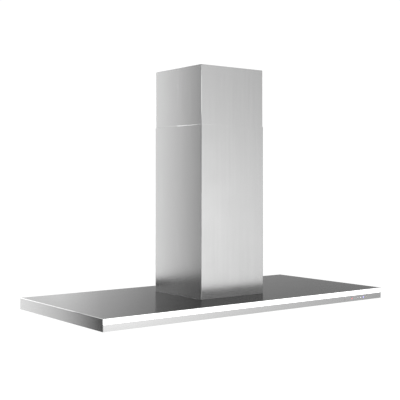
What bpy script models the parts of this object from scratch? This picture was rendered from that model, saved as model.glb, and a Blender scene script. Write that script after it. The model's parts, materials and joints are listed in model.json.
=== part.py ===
"""Island range hood: a flat canopy under a telescoping duct cover, hung from a ceiling bracket.

Metres, +Z up. The origin is the centre of the ceiling face. The front edge, with the light bar and
the touch controls, faces -Y, and the controls are near the +X end. Everything hangs below z = 0.
"""

import math

import bmesh
import bpy
from mathutils import Matrix, Vector

# Overall sizes
CANOPY_WIDTH = 1.200
CANOPY_DEPTH = 0.555
CANOPY_HEIGHT = 0.0385
HEIGHT_OVER_CANOPY = 0.792
COVER_SIDE = 0.275
LOWER_COVER_LENGTH = 0.591
UPPER_COVER_LENGTH = 0.480

# Clearances
FIT = 0.0003
COVER_CLEARANCE = 0.0007
CEILING_GAP = 0.0008
BURIED = 0.002

# Sheet metal
CANOPY_SHEET = 0.0012
COVER_SHEET = 0.0008
COVER_BEND = 0.0012
SEAM_GAP = 0.0006
PANEL_SHEET = 0.0010
PANEL_RECESS = 0.0015

# Front edge
LIGHT_BAND = 0.0175
DIFFUSER_DEPTH = 0.006
CHANNEL_DEPTH = 0.022
CHANNEL_WALL = 0.0015
LED_STRIP_WIDTH = 0.008
LED_STRIP_THICK = 0.001
FASCIA_RETURN = 0.016
ICON_RADIUS = 0.0030
ICON_COUNT = 6
ICON_PITCH = 0.0153
FIRST_ICON_FROM_END = 0.156
TIMER_ICON_FROM_END = 0.193
LENS_BAR_THICK = 0.002
LENS_BAR_HEIGHT = 0.010
LENS_BAR_MARGIN = 0.012
BOARD_THICK = 0.0016

# Frame in the duct cover
POST_GAP = 0.0062
POST_ARM = 0.022
POST_SHEET = 0.002
POST_LAP = 0.108
POST_OVER_BRACE = 0.080
SLOT_WIDTH = 0.0065
SLOT_LENGTH = 0.026
SLOT_PITCH = 0.055
BRACKET_SHEET = 0.002
BRACKET_FLANGE = 0.030
BRACKET_LAND = 0.0317
BRACKET_SLOT = (0.022, 0.007)
BRACKET_SLOT_SPREAD = 0.150
BASE_FRAME_HEIGHT = 0.050
BRACE_HEIGHT = 0.025
BRACE_SHEET = 0.0015
BRACE_OVER_BOX = 0.125

# Grease filters
FILTER_COUNT = 3
FILTER_THICK = 0.009
FILTER_GAP = 0.002
FILTER_BAR = 0.010
PANEL_END_STRIP = 0.107
PANEL_EDGE_STRIP = 0.0765
FILTER_RIM = 0.014
FILTER_GRIP_RIM = 0.046
MESH_THICK = 0.002
MESH_GROOVE = 0.005
TAB_WIDTH = 0.030
TAB_THICK = 0.0015
TAB_REACH = 0.010
TAB_SPREAD = 0.180
LATCH_WIDTH = 0.060
LATCH_LENGTH = 0.020
LATCH_THICK = 0.007
LATCH_TRAVEL = 0.006
LATCH_EAR = 0.003
LATCH_WALL = 0.009
TONGUE_WIDTH = 0.020
TONGUE_THICK = 0.003
POCKET = (0.044, 0.011, 0.005)

# Lamps
LAMP_RADIUS = 0.029
LAMP_FLANGE = 0.033
LAMP_FLANGE_THICK = 0.001
LAMP_HEIGHT = 0.020
LAMP_BORE = 0.025
LAMP_BORE_DEPTH = 0.013
LAMP_LENS_THICK = 0.002
LAMP_FROM_END = 0.055
LAMP_FROM_EDGE = 0.0975

# Blower
AIR_HOLE_LIP = 0.018
MOTOR_BOX_GAP = 0.0044
MOTOR_BOX_HEIGHT = 0.270
MOTOR_BOX_SHEET = 0.001
SCROLL_WALL = 0.002
SCROLL_SIDE_ROOM = 0.048
TONGUE_GAP = 0.007
SCROLL_GROWTH = 0.021
SCROLL_Y = -0.020
SCROLL_Z = 0.128
SCROLL_STEPS = 28
SCROLL_TOP_GAP = 0.004
IMPELLER_END_GAP = 0.013
IMPELLER_SHEET = 0.002
BLADE_COUNT = 24
BLADE_CHORD = 0.017
BLADE_THICK = 0.001
BLADE_TILT = math.radians(35)
INLET_LAP = 0.001
HUB_RADIUS = 0.012
SHAFT_RADIUS = 0.004
MOTOR_RADIUS = 0.045
MOTOR_LENGTH = 0.050
MOTOR_END_GAP = 0.0117
MOTOR_BORE_DEPTH = 0.038

# Outlet
COLLAR_RADIUS = 0.0745
COLLAR_WALL = 0.001
COLLAR_RIM = 0.0175
COLLAR_HEIGHT = 0.070
COLLAR_LEDGE = 0.004
COLLAR_LEDGE_Z = 0.004
FLAP_THICK = 0.001
FLAP_EDGE_GAP = 0.0012
FLAP_CENTRE_GAP = 0.0030
FLAP_OVER_LEDGE = 0.0012
PIN_RADIUS = 0.0015
KNUCKLE_RADIUS = 0.0027

# Electrical boxes
CONTROL_BOX = (0.034, 0.150, 0.120)
CONTROL_SHEET = 0.0012
DRIVER = (0.045, 0.160, 0.022)
JUNCTION_BOX = (0.080, 0.034, 0.060)
GLAND_RADIUS = 0.008
GLAND_NUT_RADIUS = 0.011
GLAND_BORE = 0.004
GLAND_LENGTH = 0.018
CAPACITOR_RADIUS = 0.014
CAPACITOR_LENGTH = 0.048
CAPACITOR_GAP = 0.004

# Heights and sizes that follow
CANOPY_TOP = -HEIGHT_OVER_CANOPY
CANOPY_BOTTOM = CANOPY_TOP - CANOPY_HEIGHT
CANOPY_FRONT = -CANOPY_DEPTH / 2
CANOPY_INNER_X = CANOPY_WIDTH / 2 - CANOPY_SHEET - FIT
ON_CANOPY = CANOPY_TOP + FIT
PANEL_BOTTOM = CANOPY_BOTTOM + PANEL_RECESS
PANEL_TOP = PANEL_BOTTOM + PANEL_SHEET
MOTOR_BOX_TOP = ON_CANOPY + MOTOR_BOX_HEIGHT
COLLAR_BASE = MOTOR_BOX_TOP + FIT
FILTER_PITCH = (CANOPY_WIDTH - 2 * PANEL_END_STRIP + FILTER_BAR) / FILTER_COUNT
FILTER_WIDTH = FILTER_PITCH - FILTER_BAR - 2 * FILTER_GAP
FILTER_LENGTH = CANOPY_DEPTH - 2 * (PANEL_EDGE_STRIP + FILTER_GAP)
POST_SPREAD = COVER_SIDE - 2 * (2 * COVER_SHEET + COVER_CLEARANCE + POST_GAP)
POST_INNER = POST_SPREAD / 2 - POST_SHEET - FIT
LOWER_POST_LENGTH = MOTOR_BOX_HEIGHT + BRACE_OVER_BOX + BRACE_HEIGHT + POST_OVER_BRACE
UPPER_POST_LENGTH = HEIGHT_OVER_CANOPY - LOWER_POST_LENGTH + POST_LAP
BRACKET_OPENING = 2 * (POST_INNER - BRACKET_LAND)
BASE_FRAME_SIDE = 2 * (POST_INNER - POST_SHEET - FIT)
MOTOR_BOX_SIDE = BASE_FRAME_SIDE - 2 * (POST_SHEET + MOTOR_BOX_GAP)
MOTOR_BOX_INSIDE = MOTOR_BOX_SIDE - 2 * MOTOR_BOX_SHEET
AIR_HOLE = MOTOR_BOX_SIDE - 2 * AIR_HOLE_LIP
SCROLL_WIDTH = MOTOR_BOX_INSIDE - 2 * (MOTOR_END_GAP + MOTOR_LENGTH + FIT)
# The spiral grows by SCROLL_GROWTH in three quarter turns, so it is two thirds of that smaller opposite.
SCROLL_ACROSS = MOTOR_BOX_INSIDE - SCROLL_SIDE_ROOM
SCROLL_MAX = (SCROLL_ACROSS + SCROLL_GROWTH * 2 / 3) / 2
SCROLL_MIN = SCROLL_MAX - SCROLL_GROWTH
IMPELLER_RADIUS = SCROLL_MIN - TONGUE_GAP
IMPELLER_WIDTH = SCROLL_WIDTH - 2 * IMPELLER_END_GAP
INLET_RADIUS = IMPELLER_RADIUS - BLADE_CHORD + INLET_LAP
COLLAR_FLANGE = COLLAR_RADIUS + COLLAR_RIM

CUTTERS = "cutters"
PARTS = "island_range_hood"

FINISHES = {
    "stainless": ((0.62, 0.62, 0.61), 0.28, 1.0),
    "galvanised": ((0.50, 0.52, 0.53), 0.45, 1.0),
    "aluminium": ((0.72, 0.73, 0.74), 0.40, 1.0),
    "aluminium_mesh": ((0.60, 0.61, 0.62), 0.50, 1.0),
    "opal": ((0.95, 0.95, 0.94), 0.35, 0.0),
    "lens": ((0.85, 0.88, 0.90), 0.10, 0.0),
    "black_plastic": ((0.03, 0.03, 0.03), 0.45, 0.0),
    "grey_plastic": ((0.35, 0.36, 0.37), 0.50, 0.0),
    "circuit_board": ((0.02, 0.15, 0.07), 0.50, 0.0),
    "steel": ((0.45, 0.45, 0.46), 0.35, 1.0),
}


def collection(name):
    """The collection of this name, made and linked the first time it is asked for."""
    found = bpy.data.collections.get(name)
    if found is None:
        found = bpy.data.collections.new(name)
        bpy.context.scene.collection.children.link(found)
    return found


def finish(name):
    """One Principled material for each finish."""
    material = bpy.data.materials.get(name)
    if material is None:
        colour, roughness, metallic = FINISHES[name]
        material = bpy.data.materials.new(name)
        material.use_nodes = True
        shader = material.node_tree.nodes["Principled BSDF"]
        shader.inputs["Base Color"].default_value = (*colour, 1.0)
        shader.inputs["Roughness"].default_value = roughness
        shader.inputs["Metallic"].default_value = metallic
    return material


def place(name, mesh, at, look):
    """A mesh as a named object at a point. With no look it is a helper that a Boolean uses."""
    obj = bpy.data.objects.new(name, mesh)
    obj.location = at
    if look is None:
        collection(CUTTERS).objects.link(obj)
        obj.hide_render = True
        obj.display_type = "WIRE"
    else:
        collection(PARTS).objects.link(obj)
        mesh.materials.append(finish(look))
    return obj


def mesh_from(name, bm):
    mesh = bpy.data.meshes.new(name)
    bm.to_mesh(mesh)
    bm.free()
    return mesh


def cube_mesh(size):
    bm = bmesh.new()
    bmesh.ops.create_cube(bm, size=1.0)
    bmesh.ops.scale(bm, vec=size, verts=bm.verts)
    return bm


def box(name, size, at, look=None):
    """A block of this size round its centre."""
    return place(name, mesh_from(name, cube_mesh(size)), at, look)


def block(name, low, high, look=None):
    """A block between two corners."""
    low = Vector(low)
    high = Vector(high)
    return box(name, high - low, (low + high) / 2, look)


SIDES = {
    "left": (0, -1), "right": (0, 1),
    "front": (1, -1), "back": (1, 1),
    "bottom": (2, -1), "top": (2, 1),
}


def sheet(name, low, high, wall, open_sides, look, bend=0.0):
    """Folded sheet metal: the sides of a block but the open ones, with the wall going inwards."""
    low = Vector(low)
    high = Vector(high)
    bm = cube_mesh(high - low)
    for side in open_sides:
        axis, sign = SIDES[side]
        gone = [face for face in bm.faces if face.normal[axis] * sign > 0.5]
        bmesh.ops.delete(bm, geom=gone, context="FACES")
    obj = place(name, mesh_from(name, bm), (low + high) / 2, look)
    if bend:
        rounded = obj.modifiers.new("bend", "BEVEL")
        rounded.width = bend
        rounded.segments = 2
    solid = obj.modifiers.new("wall", "SOLIDIFY")
    solid.thickness = wall
    solid.offset = -1.0
    solid.use_even_offset = True
    return obj


AXIS_TURNS = {
    "X": Matrix.Rotation(math.pi / 2, 4, "Y"),
    "Y": Matrix.Rotation(-math.pi / 2, 4, "X"),
    "Z": Matrix.Identity(4),
}


def cylinder(name, radius, length, at, look=None, axis="Z", steps=24):
    bm = bmesh.new()
    turn = AXIS_TURNS[axis]
    bmesh.ops.create_cone(
        bm, cap_ends=True, segments=steps, radius1=radius, radius2=radius, depth=length, matrix=turn
    )
    mesh = mesh_from(name, bm)
    obj = place(name, mesh, at, look)
    smooth(mesh)
    return obj


def smooth(mesh):
    mesh.shade_smooth()
    mesh.set_sharp_from_angle(angle=math.radians(35))


def turned(name, profile, at, look, steps=24):
    """A closed (radius, height) profile, given down its outer side first, turned about Z."""
    mesh = bpy.data.meshes.new(name)
    bm = bmesh.new()
    verts = [bm.verts.new((radius, 0, height)) for radius, height in profile]
    for first, second in zip(verts, verts[1:] + verts[:1]):
        if first.co.x > 0 or second.co.x > 0:
            bm.edges.new((first, second))
    bm.to_mesh(mesh)
    bm.free()
    obj = place(name, mesh, at, look)
    screw = obj.modifiers.new("turn", "SCREW")
    screw.axis = "Z"
    screw.steps = steps
    screw.render_steps = steps
    screw.use_merge_vertices = True
    screw.merge_threshold = 0.0001
    screw.use_smooth_shade = False
    return obj


def extruded(name, outline, thickness, at, look=None):
    """A flat outline in the YZ plane, given as (y, z), thickened both ways along X."""
    curve = bpy.data.curves.new(name, "CURVE")
    curve.dimensions = "2D"
    curve.fill_mode = "BOTH"
    curve.extrude = thickness / 2
    spline = curve.splines.new("POLY")
    spline.points.add(len(outline) - 1)
    for point, (y, z) in zip(spline.points, outline):
        point.co = (y, z, 0, 1)
    spline.use_cyclic_u = True
    guide = bpy.data.objects.new(name + "_outline", curve)
    bpy.context.scene.collection.objects.link(guide)
    bpy.context.view_layer.update()
    mesh = bpy.data.meshes.new_from_object(guide.evaluated_get(bpy.context.evaluated_depsgraph_get()))
    bpy.data.objects.remove(guide)
    bm = bmesh.new()
    bm.from_mesh(mesh)
    bmesh.ops.remove_doubles(bm, verts=bm.verts, dist=1e-6)
    swap = Matrix(((0, 0, 1, 0), (1, 0, 0, 0), (0, 1, 0, 0), (0, 0, 0, 1)))
    bmesh.ops.transform(bm, matrix=swap, verts=bm.verts)
    bmesh.ops.recalc_face_normals(bm, faces=bm.faces)
    bm.to_mesh(mesh)
    bm.free()
    mesh.name = name
    mesh.materials.clear()
    return place(name, mesh, at, look)


def spot_of(obj):
    """Where an object's origin is in the world. Nothing here is turned, so the places add up."""
    spot = obj.location.copy()
    if obj.parent is not None:
        spot += spot_of(obj.parent)
    return spot


def hold(child, parent):
    """Parents without moving."""
    spot = spot_of(child)
    child.parent = parent
    child.location = spot - spot_of(parent)


def combine(obj, other, operation):
    change = obj.modifiers.new(other.name, "BOOLEAN")
    change.operation = operation
    change.solver = "EXACT"
    change.object = other
    hold(other, obj)


def cut(obj, *cutters):
    for cutter in cutters:
        combine(obj, cutter, "DIFFERENCE")


def join(obj, *others):
    for other in others:
        combine(obj, other, "UNION")


def pivot(name, at, *pieces):
    """An empty on a joint's axis that holds the pieces which move with it."""
    empty = bpy.data.objects.new(name, None)
    empty.location = at
    empty.empty_display_size = 0.02
    collection(PARTS).objects.link(empty)
    for piece in pieces:
        hold(piece, empty)
    return empty


# ---- Ceiling bracket and frame ----


def build_ceiling_bracket():
    """A shallow pan, open downwards, with the duct's opening and a slot for each ceiling screw."""
    half = POST_INNER
    low = (-half, -half, -BRACKET_FLANGE)
    pan = sheet("ceiling_bracket", low, (half, half, 0), BRACKET_SHEET, ["bottom"], "galvanised")
    opening = (BRACKET_OPENING, BRACKET_OPENING, 4 * BRACKET_SHEET)
    cut(pan, box("bracket_opening", opening, (0, 0, 0)))
    ring = (BRACKET_OPENING / 2 + half) / 2
    long, wide = BRACKET_SLOT
    for i, (x, y) in enumerate([(-1, -1), (1, -1), (1, 1), (-1, 1)]):
        at = (x * BRACKET_SLOT_SPREAD / 2, y * ring, 0)
        cut(pan, box(f"bracket_slot_{i}", (long, wide, 4 * BRACKET_SHEET), at))


def post(name, sx, sy, spread, low, high):
    """An L-shaped post whose outer faces stand at spread / 2, with a row of bolt slots in each arm."""
    corner = spread / 2
    xs = sorted((sx * corner, sx * (corner - POST_ARM)))
    ys = sorted((sy * corner, sy * (corner - POST_ARM)))
    inner_x = "left" if sx > 0 else "right"
    inner_y = "front" if sy > 0 else "back"
    open_sides = ["top", "bottom", inner_x, inner_y]
    angle = sheet(name, (xs[0], ys[0], low), (xs[1], ys[1], high), POST_SHEET, open_sides, "galvanised")
    mid = corner - POST_ARM / 2
    reach = 4 * POST_SHEET
    overlap = (-UPPER_POST_LENGTH + CANOPY_TOP + LOWER_POST_LENGTH) / 2
    for i in (-1, 1):
        height = overlap + i * SLOT_PITCH / 2
        at_x = (sx * corner, sy * mid, height)
        at_y = (sx * mid, sy * corner, height)
        cut(angle, box(f"{name}_slot_x_{i}", (reach, SLOT_WIDTH, SLOT_LENGTH), at_x))
        cut(angle, box(f"{name}_slot_y_{i}", (SLOT_WIDTH, reach, SLOT_LENGTH), at_y))


def build_posts():
    inner = POST_SPREAD - 2 * (POST_SHEET + FIT)
    top = -CEILING_GAP
    for name, sx, sy in [
        ("front_left", -1, -1), ("front_right", 1, -1), ("back_left", -1, 1), ("back_right", 1, 1)
    ]:
        post(f"upper_post_{name}", sx, sy, POST_SPREAD, -UPPER_POST_LENGTH, top)
        post(f"lower_post_{name}", sx, sy, inner, ON_CANOPY, CANOPY_TOP + LOWER_POST_LENGTH)


def build_base_frame():
    """A square collar that stands on the canopy inside the lower posts."""
    half = BASE_FRAME_SIDE / 2
    sheet(
        "base_frame", (-half, -half, ON_CANOPY), (half, half, ON_CANOPY + BASE_FRAME_HEIGHT), POST_SHEET,
        ["top", "bottom"], "galvanised",
    )


def build_braces():
    """A flat bar across the two lower posts on each side."""
    outer = BASE_FRAME_SIDE / 2
    low = MOTOR_BOX_TOP + BRACE_OVER_BOX
    for name, sign in [("left", -1), ("right", 1)]:
        xs = sorted((sign * outer, sign * (outer - BRACE_SHEET)))
        block(f"brace_{name}", (xs[0], -outer, low), (xs[1], outer, low + BRACE_HEIGHT), "galvanised")


# ---- Duct covers ----


def cover_half(name, sign, side, low, high):
    """One U-shaped half of a square duct cover. The halves meet half way along the side faces."""
    ys = sorted((sign * side / 2, sign * SEAM_GAP / 2))
    open_sides = ["top", "bottom", "back" if sign < 0 else "front"]
    corners = (-side / 2, ys[0], low), (side / 2, ys[1], high)
    return sheet(name, *corners, COVER_SHEET, open_sides, "stainless", COVER_BEND)


def build_covers():
    low = CANOPY_TOP + FIT
    top = CANOPY_TOP + LOWER_COVER_LENGTH
    upper_side = COVER_SIDE - 2 * (COVER_SHEET + COVER_CLEARANCE)
    upper_top = -CEILING_GAP
    upper_low = upper_top - UPPER_COVER_LENGTH
    lower = [
        cover_half(f"lower_cover_{side}", sign, COVER_SIDE, low, top)
        for side, sign in [("front", -1), ("back", 1)]
    ]
    upper = [
        cover_half(f"upper_cover_{side}", sign, upper_side, upper_low, upper_top)
        for side, sign in [("front", -1), ("back", 1)]
    ]
    pivot("lower_cover_lift", (0, 0, low), *lower)
    pivot("upper_cover_slide", (0, 0, upper_top), *upper)


# ---- Canopy ----


def build_canopy_shell():
    """Top, left, right and back in one folded sheet, with the blower's air hole in the top."""
    shell = sheet(
        "canopy_shell", (-CANOPY_WIDTH / 2, CANOPY_FRONT, CANOPY_BOTTOM),
        (CANOPY_WIDTH / 2, -CANOPY_FRONT, CANOPY_TOP), CANOPY_SHEET, ["bottom", "front"], "stainless",
    )
    cut(shell, box("air_hole", (AIR_HOLE, AIR_HOLE, 4 * CANOPY_SHEET), (0, 0, CANOPY_TOP)))


def build_light_bar():
    """The opal bar in the front edge, the channel behind it and the LED strip in the channel."""
    top = CANOPY_TOP - CANOPY_SHEET - FIT
    low = CANOPY_TOP - LIGHT_BAND
    x = CANOPY_INNER_X
    back = CANOPY_FRONT + DIFFUSER_DEPTH
    block("light_diffuser", (-x, CANOPY_FRONT, low), (x, back, top), "opal")
    channel_front = back + FIT
    channel_back = channel_front + CHANNEL_DEPTH
    sheet(
        "light_channel", (-x, channel_front, low), (x, channel_back, top), CHANNEL_WALL,
        ["front", "left", "right"], "aluminium",
    )
    strip_back = channel_back - CHANNEL_WALL - FIT
    middle = (top + low) / 2
    half = LED_STRIP_WIDTH / 2
    end = x - CHANNEL_WALL
    low = (-end, strip_back - LED_STRIP_THICK, middle - half)
    block("led_strip", low, (end, strip_back, middle + half), "circuit_board")


def icon_places():
    """The x of each touch icon: one set apart, then a row."""
    end = CANOPY_WIDTH / 2
    row = [end - FIRST_ICON_FROM_END + i * ICON_PITCH for i in range(ICON_COUNT)]
    return [end - TIMER_ICON_FROM_END] + row


def build_front_fascia():
    """A channel-shaped strip with a hole for each icon, and the touch parts behind it."""
    top = CANOPY_TOP - LIGHT_BAND - FIT
    x = CANOPY_INNER_X
    corners = (-x, CANOPY_FRONT, CANOPY_BOTTOM), (x, CANOPY_FRONT + FASCIA_RETURN, top)
    open_sides = ["back", "left", "right"]
    fascia = sheet("front_fascia", *corners, CANOPY_SHEET, open_sides, "stainless")
    height = (top + CANOPY_BOTTOM) / 2
    places = icon_places()
    behind = CANOPY_FRONT + CANOPY_SHEET + FIT
    bar_back = behind + LENS_BAR_THICK
    half = LENS_BAR_HEIGHT / 2
    start = places[0] - LENS_BAR_MARGIN
    end = places[-1] + LENS_BAR_MARGIN
    lens = block("touch_lens", (start, behind, height - half), (end, bar_back, height + half), "lens")
    peg = bar_back - CANOPY_FRONT - LENS_BAR_THICK / 2
    for i, place_x in enumerate(places):
        at = (place_x, CANOPY_FRONT, height)
        cut(fascia, cylinder(f"icon_hole_{i}", ICON_RADIUS, 3 * CANOPY_SHEET, at, axis="Y", steps=12))
        at = (place_x, CANOPY_FRONT + peg / 2, height)
        join(lens, cylinder(f"icon_peg_{i}", ICON_RADIUS - FIT, peg, at, axis="Y", steps=12))
    board_front = bar_back + FIT
    block(
        "touch_board", (start, board_front, height - half), (end, board_front + BOARD_THICK, height + half),
        "circuit_board",
    )


def filter_places():
    """The name and centre x of each grease filter."""
    names = ["left", "middle", "right"]
    middle = (FILTER_COUNT - 1) / 2
    return [(name, (i - middle) * FILTER_PITCH) for i, name in enumerate(names[:FILTER_COUNT])]


def lamp_places():
    """The name and the x and y of each lamp."""
    x = CANOPY_WIDTH / 2 - LAMP_FROM_END
    y = CANOPY_DEPTH / 2 - LAMP_FROM_EDGE
    return [
        (f"{fore}_{side}", sx * x, sy * y)
        for fore, sy in [("front", -1), ("back", 1)]
        for side, sx in [("left", -1), ("right", 1)]
    ]


def build_bottom_panel():
    """The canopy's underside, with an opening for each filter and a hole for each lamp."""
    front = CANOPY_FRONT + FASCIA_RETURN + FIT
    back = -CANOPY_FRONT - CANOPY_SHEET - FIT
    x = CANOPY_INNER_X
    panel = block("bottom_panel", (-x, front, PANEL_BOTTOM), (x, back, PANEL_TOP), "stainless")
    through = 4 * PANEL_SHEET
    for name, x in filter_places():
        size = (FILTER_WIDTH + 2 * FILTER_GAP, FILTER_LENGTH + 2 * FILTER_GAP, through)
        cut(panel, box(f"filter_opening_{name}", size, (x, 0, PANEL_BOTTOM)))
    for name, x, y in lamp_places():
        cut(panel, cylinder(f"lamp_hole_{name}", LAMP_RADIUS + FIT, through, (x, y, PANEL_BOTTOM)))


def build_lamp(name, x, y):
    """A recessed lamp: a flanged cup under the panel, closed by a lens."""
    flange_top = -FIT
    flange_low = flange_top - LAMP_FLANGE_THICK
    top = flange_top + LAMP_HEIGHT
    ledge = flange_low + LAMP_LENS_THICK
    ledge_radius = LAMP_BORE - 2 * LAMP_LENS_THICK
    bore_end = flange_low + LAMP_BORE_DEPTH
    profile = [
        (0, top), (LAMP_RADIUS, top), (LAMP_RADIUS, flange_top), (LAMP_FLANGE, flange_top),
        (LAMP_FLANGE, flange_low), (LAMP_BORE, flange_low), (LAMP_BORE, ledge + FIT),
        (ledge_radius, ledge + FIT), (ledge_radius, bore_end), (0, bore_end),
    ]
    turned(f"lamp_{name}_housing", profile, (x, y, PANEL_BOTTOM), "stainless", steps=20)
    lens = flange_low + LAMP_LENS_THICK / 2
    cylinder(
        f"lamp_{name}_lens", LAMP_BORE - FIT, LAMP_LENS_THICK, (x, y, PANEL_BOTTOM + lens), "opal", steps=20
    )


# ---- Grease filters ----


def build_filter_frame(name, x):
    """The filter's rim, with the mesh opening and its groove, the latch's window and two rear tabs."""
    low = PANEL_BOTTOM
    top = low + FILTER_THICK
    middle = (low + top) / 2
    front = -FILTER_LENGTH / 2
    back = FILTER_LENGTH / 2
    half = FILTER_WIDTH / 2
    rim = block(f"filter_{name}_frame", (x - half, front, low), (x + half, back, top), "aluminium")
    inside = half - FILTER_RIM
    mesh_front = front + FILTER_GRIP_RIM
    mesh_back = back - FILTER_RIM
    opening = (x - inside, mesh_front, low - BURIED), (x + inside, mesh_back, top + BURIED)
    cut(rim, block(f"{name}_mesh_opening", *opening))

    def about_mesh(reach, half_thick):
        """The corners of a flat block that reaches past the opening on every side."""
        low_corner = (x - inside - reach, mesh_front - reach, middle - half_thick)
        return low_corner, (x + inside + reach, mesh_back + reach, middle + half_thick)

    cut(rim, block(f"{name}_mesh_groove", *about_mesh(MESH_GROOVE, MESH_THICK / 2 + FIT)))
    inlay = about_mesh(MESH_GROOVE - FIT, MESH_THICK / 2)
    sheet_of_mesh = block(f"filter_{name}_mesh", *inlay, "aluminium_mesh")
    window_front = front + LATCH_WALL
    window_back = window_front + LATCH_LENGTH + LATCH_TRAVEL + 3 * FIT
    wide = LATCH_WIDTH / 2 + FIT
    ear = wide + LATCH_EAR
    ear_half = TONGUE_THICK / 2 + FIT
    slot = TONGUE_WIDTH / 2 + FIT
    ear_low = middle - ear_half
    ear_high = middle + ear_half
    window = (x - wide, window_front, low - BURIED), (x + wide, window_back, top + BURIED)
    groove = (x - ear, window_front, ear_low), (x + ear, window_back, ear_high)
    way = (x - slot, front - BURIED, ear_low), (x + slot, window_front + BURIED, ear_high)
    cut(rim, block(f"{name}_latch_window", *window))
    cut(rim, block(f"{name}_latch_groove", *groove))
    cut(rim, block(f"{name}_tongue_slot", *way))
    tab_low = PANEL_TOP + FIT
    for sign in (-1, 1):
        tab_left = x + (sign * TAB_SPREAD - TAB_WIDTH) / 2
        start = (tab_left, back - BURIED, tab_low)
        end = (tab_left + TAB_WIDTH, back + TAB_REACH, tab_low + TAB_THICK)
        join(rim, block(f"{name}_tab_{sign}", start, end))
    return rim, sheet_of_mesh


def build_filter_latch(name, x):
    """A sliding catch with an ear on each side, a tongue in front and a finger pocket below."""
    middle = PANEL_BOTTOM + FILTER_THICK / 2
    front = -FILTER_LENGTH / 2 + LATCH_WALL + FIT
    back = front + LATCH_LENGTH
    half = LATCH_WIDTH / 2
    thick = LATCH_THICK / 2
    ear = TONGUE_THICK / 2
    low = middle - thick
    body = (x - half, front, low), (x + half, back, middle + thick)
    latch = block(f"filter_{name}_latch", *body, "black_plastic")
    ear_x = half + LATCH_EAR - FIT
    tongue_x = TONGUE_WIDTH / 2
    ears = (x - ear_x, front + BURIED, middle - ear), (x + ear_x, back - BURIED, middle + ear)
    tongue = (x - tongue_x, front - LATCH_WALL, middle - ear), (x + tongue_x, front + BURIED, middle + ear)
    join(latch, block(f"{name}_ears", *ears))
    join(latch, block(f"{name}_tongue", *tongue))
    long, wide, deep = POCKET
    cut(latch, box(f"{name}_pocket", (long, wide, 2 * deep), (x, (front + back) / 2, low)))
    return latch


def build_filters():
    for name, x in filter_places():
        rim, mesh = build_filter_frame(name, x)
        latch = build_filter_latch(name, x)
        slide = pivot(f"filter_{name}_latch_slide", (x, -FILTER_LENGTH / 2, PANEL_BOTTOM), latch)
        pivot(f"filter_{name}_hinge", (x, FILTER_LENGTH / 2, PANEL_TOP), rim, mesh, slide)


# ---- Blower ----


def build_motor_box():
    half = MOTOR_BOX_SIDE / 2
    case = sheet(
        "motor_box", (-half, -half, ON_CANOPY), (half, half, MOTOR_BOX_TOP), MOTOR_BOX_SHEET, ["bottom"],
        "galvanised",
    )
    hole = COLLAR_RADIUS - COLLAR_WALL - COLLAR_LEDGE
    cut(case, cylinder("motor_box_outlet", hole, 4 * MOTOR_BOX_SHEET, (0, 0, MOTOR_BOX_TOP), steps=32))


def scroll_outline(inset, rise):
    """The casing seen along X, as (y, z) about the impeller's axis: a spiral that opens upwards."""
    points = [(SCROLL_MAX - inset, rise)]
    for i in range(SCROLL_STEPS + 1):
        share = i / SCROLL_STEPS
        angle = -share * 1.5 * math.pi
        radius = SCROLL_MAX + (SCROLL_MIN - SCROLL_MAX) * share - inset
        points.append((radius * math.cos(angle), radius * math.sin(angle)))
    tongue = points[-1]
    points.append((tongue[0] + inset, tongue[1]))
    points.append((tongue[0] + inset, rise))
    return points


def build_scroll():
    """The casing, open on its left for the inlet plate, and that plate."""
    centre = Vector((0, SCROLL_Y, ON_CANOPY + SCROLL_Z))
    rise = MOTOR_BOX_HEIGHT - MOTOR_BOX_SHEET - SCROLL_TOP_GAP - SCROLL_Z
    scroll = extruded("blower_scroll", scroll_outline(0, rise), SCROLL_WIDTH, centre, "black_plastic")
    hollow = extruded("scroll_hollow", scroll_outline(SCROLL_WALL, rise + BURIED), SCROLL_WIDTH, centre)
    hollow.location.x -= SCROLL_WALL
    cut(scroll, hollow)
    wall = (SCROLL_WIDTH / 2, centre.y, centre.z)
    cut(scroll, cylinder("scroll_shaft_hole", 2 * SHAFT_RADIUS, 6 * SCROLL_WALL, wall, axis="X", steps=16))
    at = centre - Vector((SCROLL_WIDTH / 2 + SCROLL_WALL / 2 + FIT, 0, 0))
    plate = extruded("inlet_plate", scroll_outline(0, rise), SCROLL_WALL, at, "black_plastic")
    cut(plate, cylinder("inlet_hole", INLET_RADIUS, 4 * SCROLL_WALL, at, axis="X", steps=32))
    return centre


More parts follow.
